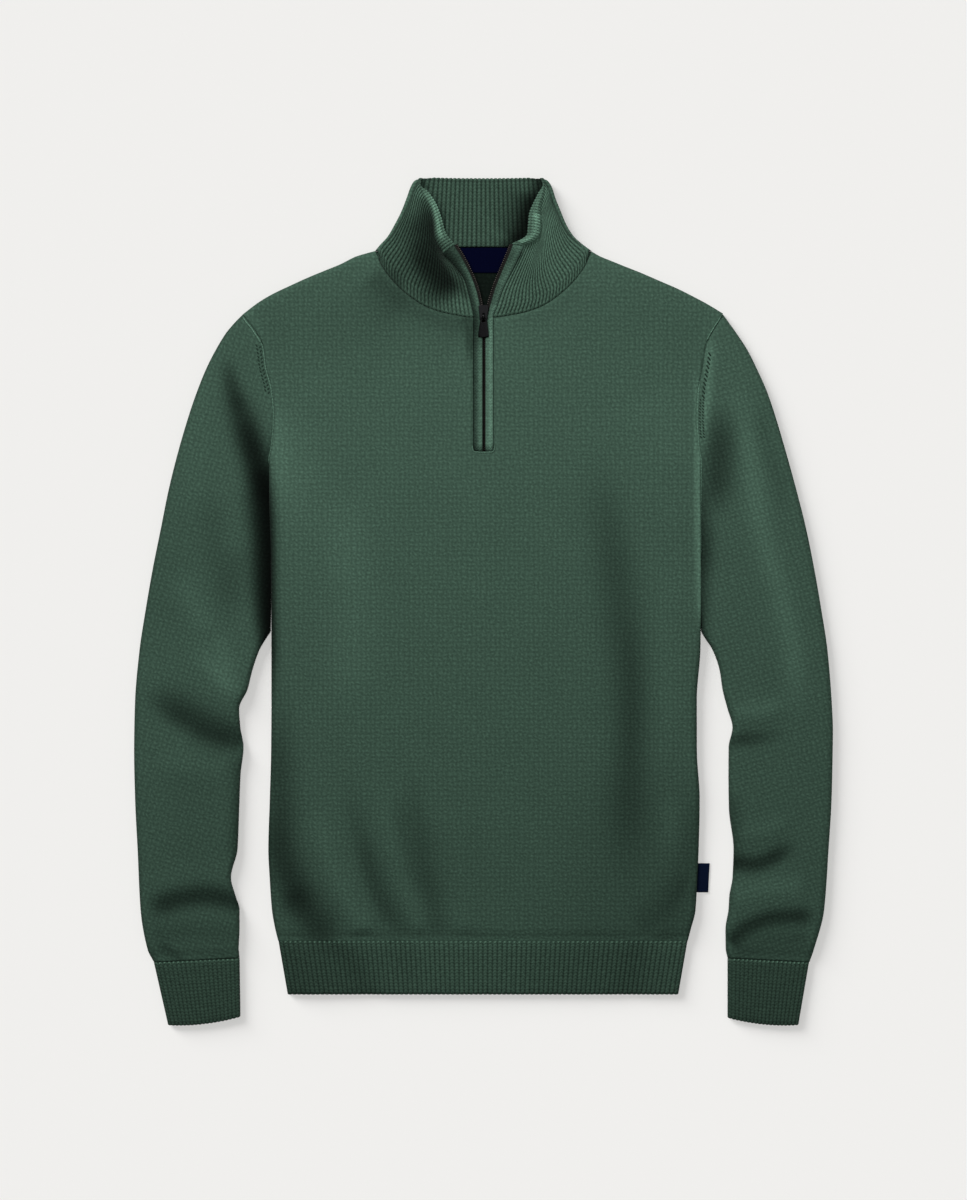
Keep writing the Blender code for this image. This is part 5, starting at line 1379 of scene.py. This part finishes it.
# height y, tone of the left and of the right facing
BAND_SHADE = (
    (147.8, 0, 0), (235, -0.1, -0.1), (255, -0.7, -0.15), (269, -1.2, -0.3), (284, -0.7, -0.5), (293, -0.5, -1),
    (303, -0.6, -1), (312, -0.7, -0.8), (325, -1.2, -1), (337, -1.9, -1.3), (347, -1.8, -0.5),
)
BAND_ACROSS = np.array([0.0, 0.04, 0.12, 0.25, 0.4, 0.6, 0.75, 0.88, 0.96, 1.0])
TAPE_GAP, TAPE_WALL, TAPE_UNDER_BAND, TAPE_WIDTH = 0.35, 0.8, 4.0, 7.0
CLOSED_LIP, OPEN_LIP = 1.35, 3.2
# height y where the zip opens, and the length over which it does
OPEN_FROM, OPEN_OVER = 262.0, 22.0
ZIP_ROWS = 130


def strip_plan(first, last, shares):
    """Plan points of a strip between two lines."""
    return first[:, None] + shares[:, None] * (last - first)[:, None]


rows_at = np.linspace(0, 1, ZIP_ROWS)
wing_from = (CLOSED_ROWS - 1) / (len(BAND_ROWS[LEFT]) - 1)
up_wing = np.clip((rows_at - wing_from) / (1 - wing_from), 0, 1)
turned_in = np.clip(1 - BAND_ACROSS / TURN_SHARE, 0, 1) * (up_wing > 0)[:, None]
sag = BAND_ROUND * np.abs(2 * BAND_ACROSS - 1) ** 2.6
for side in (LEFT, RIGHT):
    outer, inner, crown = zip_line(side, rows_at)
    plan = strip_plan(outer, inner, BAND_ACROSS)
    from_foot = np.clip((plan[..., 1] - BAND_ROWS[side][0][0]) / BAND_FOOT, 0, 1)
    top = crown[:, None] - sag - BAND_FOOT_DROP * (1 - np.sqrt(from_foot))
    under = (crown - BAND_WALL)[:, None]
    wing_top = wing_height(side, np.array([1.0]), ROLL_FROM * up_wing)
    under = under + turned_in * np.minimum(0, wing_top - TURN_DEPTH - under)
    tone = read(BAND_TONE[side], 1, BAND_ACROSS) + read(BAND_SHADE, side, plan[..., 1])
    cut = grid_of(BAND_ACROSS * BAND_WIDTH, run_of(outer)[:, None])
    band = make_piece(f"zip_facing_{NAMES[side]}", lifted(plan, top), lifted(plan, under), facing_knit,
                      f"zip_band_{NAMES[side]}", cut=cut, tone=tone)

# %% Zip materials
def woven(name, colour, threads, depth, roughness):
    """Close woven cloth: two waves at right angles."""
    made, shader = start_material(name, roughness, specular=0.02)
    tree = made.node_tree
    cut = cut_of(tree)
    inputs = {"Vector": cut, "Scale": threads, "Distortion": 0.4}
    waves = [add_node(tree, "ShaderNodeTexWave", {"bands_direction": way}, **inputs).outputs["Fac"] for way in "XY"]
    weave = sums(tree, "MULTIPLY", *waves)
    fibre = use_group(tree, "wool_fibres", Cut=cut, Colour=colour, Mottle=0.6)
    finish_shader(tree, shader, fibre["Colour"], sums(tree, "MULTIPLY", weave, 0.5), ((weave, depth),))
    return made


def metal(name, colour, roughness, wear):
    """Cast metal with fine scratches, which change its colour, its gloss and its surface."""
    made, shader = start_material(name, roughness, metallic=1.0)
    tree = made.node_tree
    place = add_node(tree, "ShaderNodeTexCoord").outputs["Object"]
    scratches = add_node(tree, "ShaderNodeTexNoise", Vector=place, Scale=900.0, Detail=4.0).outputs["Fac"]
    stops = sums(tree, "ADD", sums(tree, "MULTIPLY_ADD", scratches, wear, -wear / 2), tone_of(tree))
    finish_shader(tree, shader, colour, stops, ((scratches, 0.00003),))
    tree.links.new(sums(tree, "MULTIPLY_ADD", scratches, 0.25, roughness - 0.12), shader.inputs["Roughness"])
    return made


tape_cloth = woven("tape_cloth", (0.010, 0.010, 0.009, 1), 160.0, 0.0001, 0.8)
# the neck label is a darker copy of the side label's navy: painted shade inside the collar
label_cloth = woven("label_cloth", (0.0005, 0.0009, 0.0080, 1), 220.0, 0.00006, 0.9)
side_label_cloth = woven("side_label_cloth", (0.0032, 0.0065, 0.0200, 1), 220.0, 0.00006, 0.9)
gunmetal = metal("gunmetal", (0.0080, 0.0080, 0.0085, 1), 0.22, 1.2)
tooth_metal = metal("tooth_metal", (0.046, 0.041, 0.037, 1), 0.4, 1.0)

# %% Tapes
def tape_edges(side, shares):
    """Plan of a tape's hidden edge and of its toothed edge, and the height of its top."""
    outer, inner, crown = zip_line(side, shares)
    across = unit(inner - outer)
    opened = np.clip((inner[:, 1] - OPEN_FROM) / OPEN_OVER, 0, 1)
    lip = np.minimum(CLOSED_LIP + opened * (OPEN_LIP - CLOSED_LIP), np.abs(inner[:, 0]) - SEAM / 2)
    return inner - TAPE_UNDER_BAND * across, inner + lip[:, None] * across, crown - BAND_WALL - TAPE_GAP


across = np.linspace(0, 1, 6)
for side in (LEFT, RIGHT):
    hidden, lip, tape_top = tape_edges(side, rows_at)
    plan, top = strip_plan(hidden, lip, across), tape_top[:, None]
    tape = make_piece(f"zip_tape_{NAMES[side]}_cloth", lifted(plan, top), lifted(plan, top - TAPE_WALL), tape_cloth,
                      f"zip_tape_{NAMES[side]}", cut=grid_of(across * TAPE_WIDTH, run_of(lip)[:, None]))

# %% [markdown]
# Teeth are many small things alike, so they are one joined mesh on each side: a small rounded block is copied
# along the tape's edge. Where the zip is closed, the two rows stand between each other.

# %% Small rounded blocks
# size and height of a block's four octagons, as shares of its half sizes
BLOCK_RINGS = ((0.72, -1), (1, -0.45), (1, 0.45), (0.72, 1))
SQUARENESS = 0.55


def rounded_block(half_x, half_y, half_z):
    """Points and faces of a block with its edges taken off: three rings and two caps, each an octagon."""
    angles = math.pi / 8 + np.arange(8) * math.pi / 4
    octagon = np.stack([np.cos(angles), np.sin(angles)], axis=1)
    octagon = np.sign(octagon) * np.abs(octagon) ** SQUARENESS * (half_x, half_y)
    points = np.concatenate([lifted(octagon * size, half_z * z) for size, z in BLOCK_RINGS])
    faces = [tuple(range(7, -1, -1)), tuple(range(24, 32))]
    for a in range(24):
        b = a - a % 8 + (a + 1) % 8
        faces.append((a, b, b + 8, a + 8))
    return points, faces


def scatter(name, block, places, ways, material, tones):
    """One joined mesh with a copy of a block at each place, its x axis turned to each way."""
    (x, y, z), block_faces = block[0].T, block[1]
    places, (cos, sin) = np.array(places), np.transpose(ways)
    points = np.stack([
        places[:, :1] + np.outer(cos, x) - np.outer(sin, y),
        places[:, 1:2] + np.outer(sin, x) + np.outer(cos, y),
        places[:, 2:] + z,
    ], axis=-1).reshape(-1, 3)
    faces = [tuple(i + k * len(x) for i in face) for k in range(len(places)) for face in block_faces]
    mesh = bpy.data.meshes.new(name)
    mesh.from_pydata((points * MM).tolist(), [], faces)
    return hand_over(mesh, points[:, :2], np.repeat(np.broadcast_to(tones, len(places)), len(x)), material)


def spaced(line, pitch, start):
    """Points a pitch apart along a line, and the unit direction at each."""
    run = run_of(line[:, :2])
    at = np.arange(start, run[-1], pitch)
    columns = [np.interp(at, run, column) for column in (*line.T, *np.gradient(line[:, :2], axis=0).T)]
    return np.stack(columns[:3], axis=1), unit(np.stack(columns[3:], axis=1))


# %% Teeth
TOOTH, TOOTH_PITCH, TOOTH_START = (0.62, 0.75, 0.55), 2.0, {LEFT: 0.4, RIGHT: 1.4}
TOOTH_IN, TOOTH_UP = 0.35, 0.25
# below this height the zip is closed, and its teeth get painted shade
CLOSED_BELOW_Y, CLOSED_TEETH_SHADE = 270.0, -1.7

for side in (LEFT, RIGHT):
    hidden, lip, tape_top = tape_edges(side, np.linspace(0, 1, 400))
    line = lifted(lip - TOOTH_IN * unit(lip - hidden), tape_top + TOOTH_UP)
    places, ways = spaced(line, TOOTH_PITCH, TOOTH_START[side])
    shade = np.where(places[:, 1] < CLOSED_BELOW_Y, CLOSED_TEETH_SHADE, 0.0)
    scatter(f"zip_teeth_{NAMES[side]}", rounded_block(*TOOTH), places, ways, tooth_metal, shade)

# %% [markdown]
# The slider is a small cast body with a plate above and below and a bridge on top. The pull hangs on the bridge
# by its bar. Both are made as meshes with bevelled edges, because the light on a rounded metal edge is what tells
# the eye that it is metal.

# %% Slider and pull
PIVOT_Y, PIVOT_Z = 275.6, 10.9
BEVEL_ANGLE = math.radians(35)
PLATE_LOW, PLATE_HIGH, PLATE_BEVEL = 8.6, 9.7, 0.35
# height y and half width of the slider's top plate
PLATE = ((272.6, 3.4), (274, 3.8), (279, 4.1), (284, 4.8), (286.8, 4.7), (288, 3.8))
# y and height of the bridge's middle line, from BRIDGE_Y
BRIDGE = ((-2.9, 9.4), (-2.6, 11.6), (-1.2, 12.9), (0.8, 13.1), (2.3, 12.3), (3.2, 10.9), (3.4, 9.4))
BRIDGE_Y, BRIDGE_HALF, BRIDGE_THICK, BRIDGE_ROUND = 276.0, 1.15, 0.75, 0.22
# y from the pivot and half width of the pull
PULL = (
    (0.7, 2.3), (0.2, 2.8), (-0.7, 3), (-2, 3.2), (-4.6, 3.5), (-5.2, 3.6), (-9, 4.2), (-14, 4.9), (-17.6, 5.3),
    (-18.6, 5.2), (-19, 4.6),
)
PULL_SLOPE, PULL_HALF_THICK, PULL_BEVEL = 2.6 / 19.0, 0.55, 0.32
WINDOW_HALF, WINDOW_FRAME = 1.7, 1.2


def bevelled(name, plan, z_low, z_high, width, *nodes, keep=None, body=SWEATER):
    """A metal solid between two heights, with its edges taken off."""
    piece = make_piece(name, lifted(plan, z_high), lifted(plan, z_low), gunmetal, *nodes, keep=keep, body=body)
    bevel = piece.modifiers.new("edges", "BEVEL")
    bevel.width = width * MM
    bevel.segments = 3
    bevel.limit_method = "ANGLE"
    bevel.angle_limit = BEVEL_ANGLE


def strap(name, line, half, thick):
    """A bent metal strap along a line in the plane x = 0."""
    line = bent(line, 22)
    out = left_of(line)
    x = np.array([-1.0, -0.82, 0.82, 1.0])[:, None] * half
    inner = np.array([BRIDGE_ROUND, 0.0, 0.0, BRIDGE_ROUND])
    layers = []
    for away in (thick - inner, inner):
        side = line[:, None] + out[:, None] * away[:, None]
        layers.append(np.concatenate([np.broadcast_to(x, side.shape[:2] + (1,)), side], axis=-1))
    return make_piece(name, *layers, gunmetal)


plate_y, plate_half = np.transpose(PLATE)
plan = grid_of(np.outer(plate_half, (-1, -0.5, 0, 0.5, 1)), plate_y[:, None])
bevelled("slider_top_plate", plan, PLATE_LOW, PLATE_HIGH, PLATE_BEVEL, "zip_slider")
strap("slider_bridge", np.array(BRIDGE) + (BRIDGE_Y, 0.0), BRIDGE_HALF, BRIDGE_THICK)

pull_y, pull_half = np.transpose(PULL)
window = np.minimum(WINDOW_HALF, pull_half - WINDOW_FRAME)
plan = grid_of(np.stack([-pull_half, -window, window, pull_half], axis=1), (PIVOT_Y + pull_y)[:, None])
z = (PIVOT_Z + PULL_SLOPE * pull_y)[:, None]
keep = np.ones((len(PULL) - 1, 3), bool)
keep[2:4, 1] = False
bevelled("zip_pull_tab", plan, z - PULL_HALF_THICK, z + PULL_HALF_THICK, PULL_BEVEL, "zip_pull",
         keep=keep, body=PULL_TAB)

# %% [markdown]
# ## Sewing
# A knitted panel isn't cut but narrowed stitch by stitch, and each narrowing leaves a slanting mark beside the
# armhole. The seam itself stands up as a thin ridge at the top of the shoulder. The ridge is a thin bead that
# follows the seam, lit with a painted highlight, and beads of low tone beside it are painted shade. The marks
# are one joined mesh of small flat blocks, whose dark green is painted shade in their small holes.

# %% Seam beads and marks
BEAD_TURNS, BEAD_SINK, BEAD_DEPTH, BEAD_TAPER = np.linspace(0, math.pi, 7), 0.3, 1.2, 0.08
# where on the armhole seam a bead starts and ends (share of its length), its offset to the sleeve, width, rise, tone
# (painted highlight above 0, painted shade below 0)
BEADS = {
    LEFT: (
        (0.012, 0.135, 1.5, 1.7, 1.6, 0.75), (0.012, 0.145, -0.1, 1.2, 0.35, -2.6), (0.12, 0.62, 0.5, 1.2, 0.6, 0.65),
        (0.28, 0.62, -0.5, 0.9, 0.35, -0.5),
    ),
    RIGHT: ((0.012, 0.125, -0.9, 1.3, 1, 0.8), (0.012, 0.3, 0.5, 1, 0.35, -0.9), (0.28, 0.98, 0.3, 1.6, 0.5, 0.75)),
}
ZIP_FOOT = ((-11, 151.5), (-10.4, 147.2), (-8.6, 145.3), (0, 144.9), (8.6, 145.3), (10.4, 147.2), (11, 151.5))
MARK_HALF_HIGH, MARK_WAY, MARK_TONE = 0.22, 0.6, 0.35
# rows of marks: first and last height y, how many, distance from the seam, half length, half width, lean
MARKS = {
    LEFT: ((247, 203, 13, 3, 1.35, 0.75, -0.8), (248.5, 205, 13, 6, 1.35, 0.75, 0.8)),
    RIGHT: (
        (240, 199, 11, 5.2, 2.2, 0.75, -0.9), (196, 160, 13, 2.6, 1.3, 0.6, -0.8),
        (196, 160, 13, 5.6, 1.3, 0.6, -0.8),
    ),
}


def bead(name, line, width, rise, tone):
    """A half-round bead along a line of points in space, thinner at both ends."""
    plan, z = line[:, :2], line[:, 2]
    share = np.linspace(0, 1, len(line))
    size = np.sqrt(np.clip(np.minimum(share, 1 - share) / BEAD_TAPER, 0.05, 1))
    rows = []
    for turn in BEAD_TURNS:
        out = left_of(plan) * (width / 2 * math.cos(turn) * size)[:, None]
        rows.append(lifted(plan + out, z + (rise * math.sin(turn) - BEAD_SINK) * size))
    upper = np.stack(rows, axis=1)
    return make_piece(name, upper, lifted(upper[..., :2], (z - BEAD_DEPTH)[:, None]), facing_knit, tone=tone)


for side in (LEFT, RIGHT):
    seam = armhole(side)
    for k, (start_at, end_at, offset, width, rise, tone) in enumerate(BEADS[side]):
        line = beside(along(seam, np.linspace(start_at, end_at, 70)), SIGN[side] * offset)
        line = lifted(line, sleeve_surface(side, *line.T)[0])
        bead(f"armhole_bead_{NAMES[side]}_{k}", line, width, rise, tone)
    for k, (first_y, last_y, count, offset, half_long, half_wide, lean) in enumerate(MARKS[side]):
        y = np.linspace(first_y, last_y, count)
        x = np.interp(y, seam[::-1, 1], seam[::-1, 0]) + SIGN[side] * offset
        places = np.stack([x, y, sleeve_surface(side, x, y)[0]], axis=1)
        ways = [(MARK_WAY * SIGN[side], lean)] * count
        block = rounded_block(half_long, half_wide, MARK_HALF_HIGH)
        scatter(f"fashioning_marks_{NAMES[side]}_{k}", block, places, ways, mark_shade_wool, MARK_TONE)

line = bent(ZIP_FOOT, 80)
bead("zip_foot_seam", lifted(line, front_surface(*line.T)[0] + 0.1), 1.8, 0.9, 0.35)

# %% [markdown]
# The ribs are linked to the knit loop by loop. The loops show as a row of small pale grains at the top of each
# rib.

# %% Loop rows
LOOP, LOOP_WAY = (1.15, 0.75, 0.5), (0.25, 0.97)
HEM_LOOP_DROP, HEM_LOOP_TONE = 1.3, 0.65
CUFF_LOOP_DROP, CUFF_LOOP_RISE, CUFF_LOOP_TONE = 0.9, 0.55, 0.85


def loop_row(name, x, y, z, tone):
    """A grain at each of these places."""
    places = np.stack(np.broadcast_arrays(x, y, z), axis=1)
    scatter(name, rounded_block(*LOOP), places, [LOOP_WAY] * len(places), rib_knit, tone)


def crests(count):
    """The crests of a row of ribs but its first and its last, as shares of its width."""
    return (np.arange(1, count - 1) + 0.5) / count


x = hem_line(crests(HEM_RIBS), 0.02)
z = HEM_LOFT + RIB_RELIEF + folds(HEM_FOLDS, x, 0 * x + HEM_SEAM_Y)[0]
loop_row("hem_loops", x, HEM_SEAM_Y - HEM_LOOP_DROP, z, HEM_LOOP_TONE)
share = crests(CUFF_RIBS)[:, None]
for side in (LEFT, RIGHT):
    outer_top, inner_top = np.array(CUFFS[side])[[0, 3]]
    x, y = (outer_top + share * (inner_top - outer_top)).T
    loop_row(f"cuff_loops_{NAMES[side]}", x, y - CUFF_LOOP_DROP, CUFF_LOFT + CUFF_LOOP_RISE, CUFF_LOOP_TONE)

# %% [markdown]
# ## Labels
# A woven label is sewn at the back of the neck, and a small folded one stands in the right side seam. Both are
# plain navy cloth; the neck label's colour is darker, as painted shade inside the collar.

# %% Labels
NECK_LABEL = (-29.0, 31.0, 319.6, 344.3)
NECK_LABEL_RISE, NECK_LABEL_EDGE, NECK_LABEL_WAVE, NECK_LABEL_TURN = 0.35, 1.6, 0.12, 9.0
SIDE_LABEL_Y, SIDE_LABEL_WIDTH = (-282.3, -254.1), 11.4
SIDE_LABEL_LOW, SIDE_LABEL_RISE, SIDE_LABEL_EDGE, SIDE_LABEL_FOOT = 0.75, 0.45, 1.4, 0.05
SIDE_LABEL_ACROSS = np.array([0, 0.15, 0.35, 0.6, 0.8, 0.92, 0.98, 1.0])

left, right, foot, head = NECK_LABEL
x, y = np.linspace(left, right, 42), np.linspace(foot, head, 22)[:, None]
plan = grid_of(x, y)
from_edge = np.minimum(np.minimum(x - left, right - x), np.minimum(y - foot, head - y))
top = WALL + SEAM + NECK_LABEL_RISE * (1 + rolled(from_edge, NECK_LABEL_EDGE))
top = top + NECK_LABEL_WAVE * np.sin(x / NECK_LABEL_TURN)
neck_label = make_piece("neck_label_cloth", lifted(plan, top), lifted(plan, WALL + SEAM / 2), label_cloth,
                        "neck_label")

y, across = np.linspace(*SIDE_LABEL_Y, 18)[:, None], SIDE_LABEL_ACROSS * SIDE_LABEL_WIDTH
plan = grid_of(read(SIDE_SEAM, RIGHT, y) + CURVED_SEAM + across, y)
top = SIDE_LABEL_LOW + SIDE_LABEL_RISE * rolled(SIDE_LABEL_WIDTH - across, SIDE_LABEL_EDGE)
side_label = make_piece("side_label_cloth", lifted(plan, top), lifted(plan, SIDE_LABEL_FOOT), side_label_cloth,
                        "side_label")

# %% Bounds of all that is shown
low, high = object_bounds()
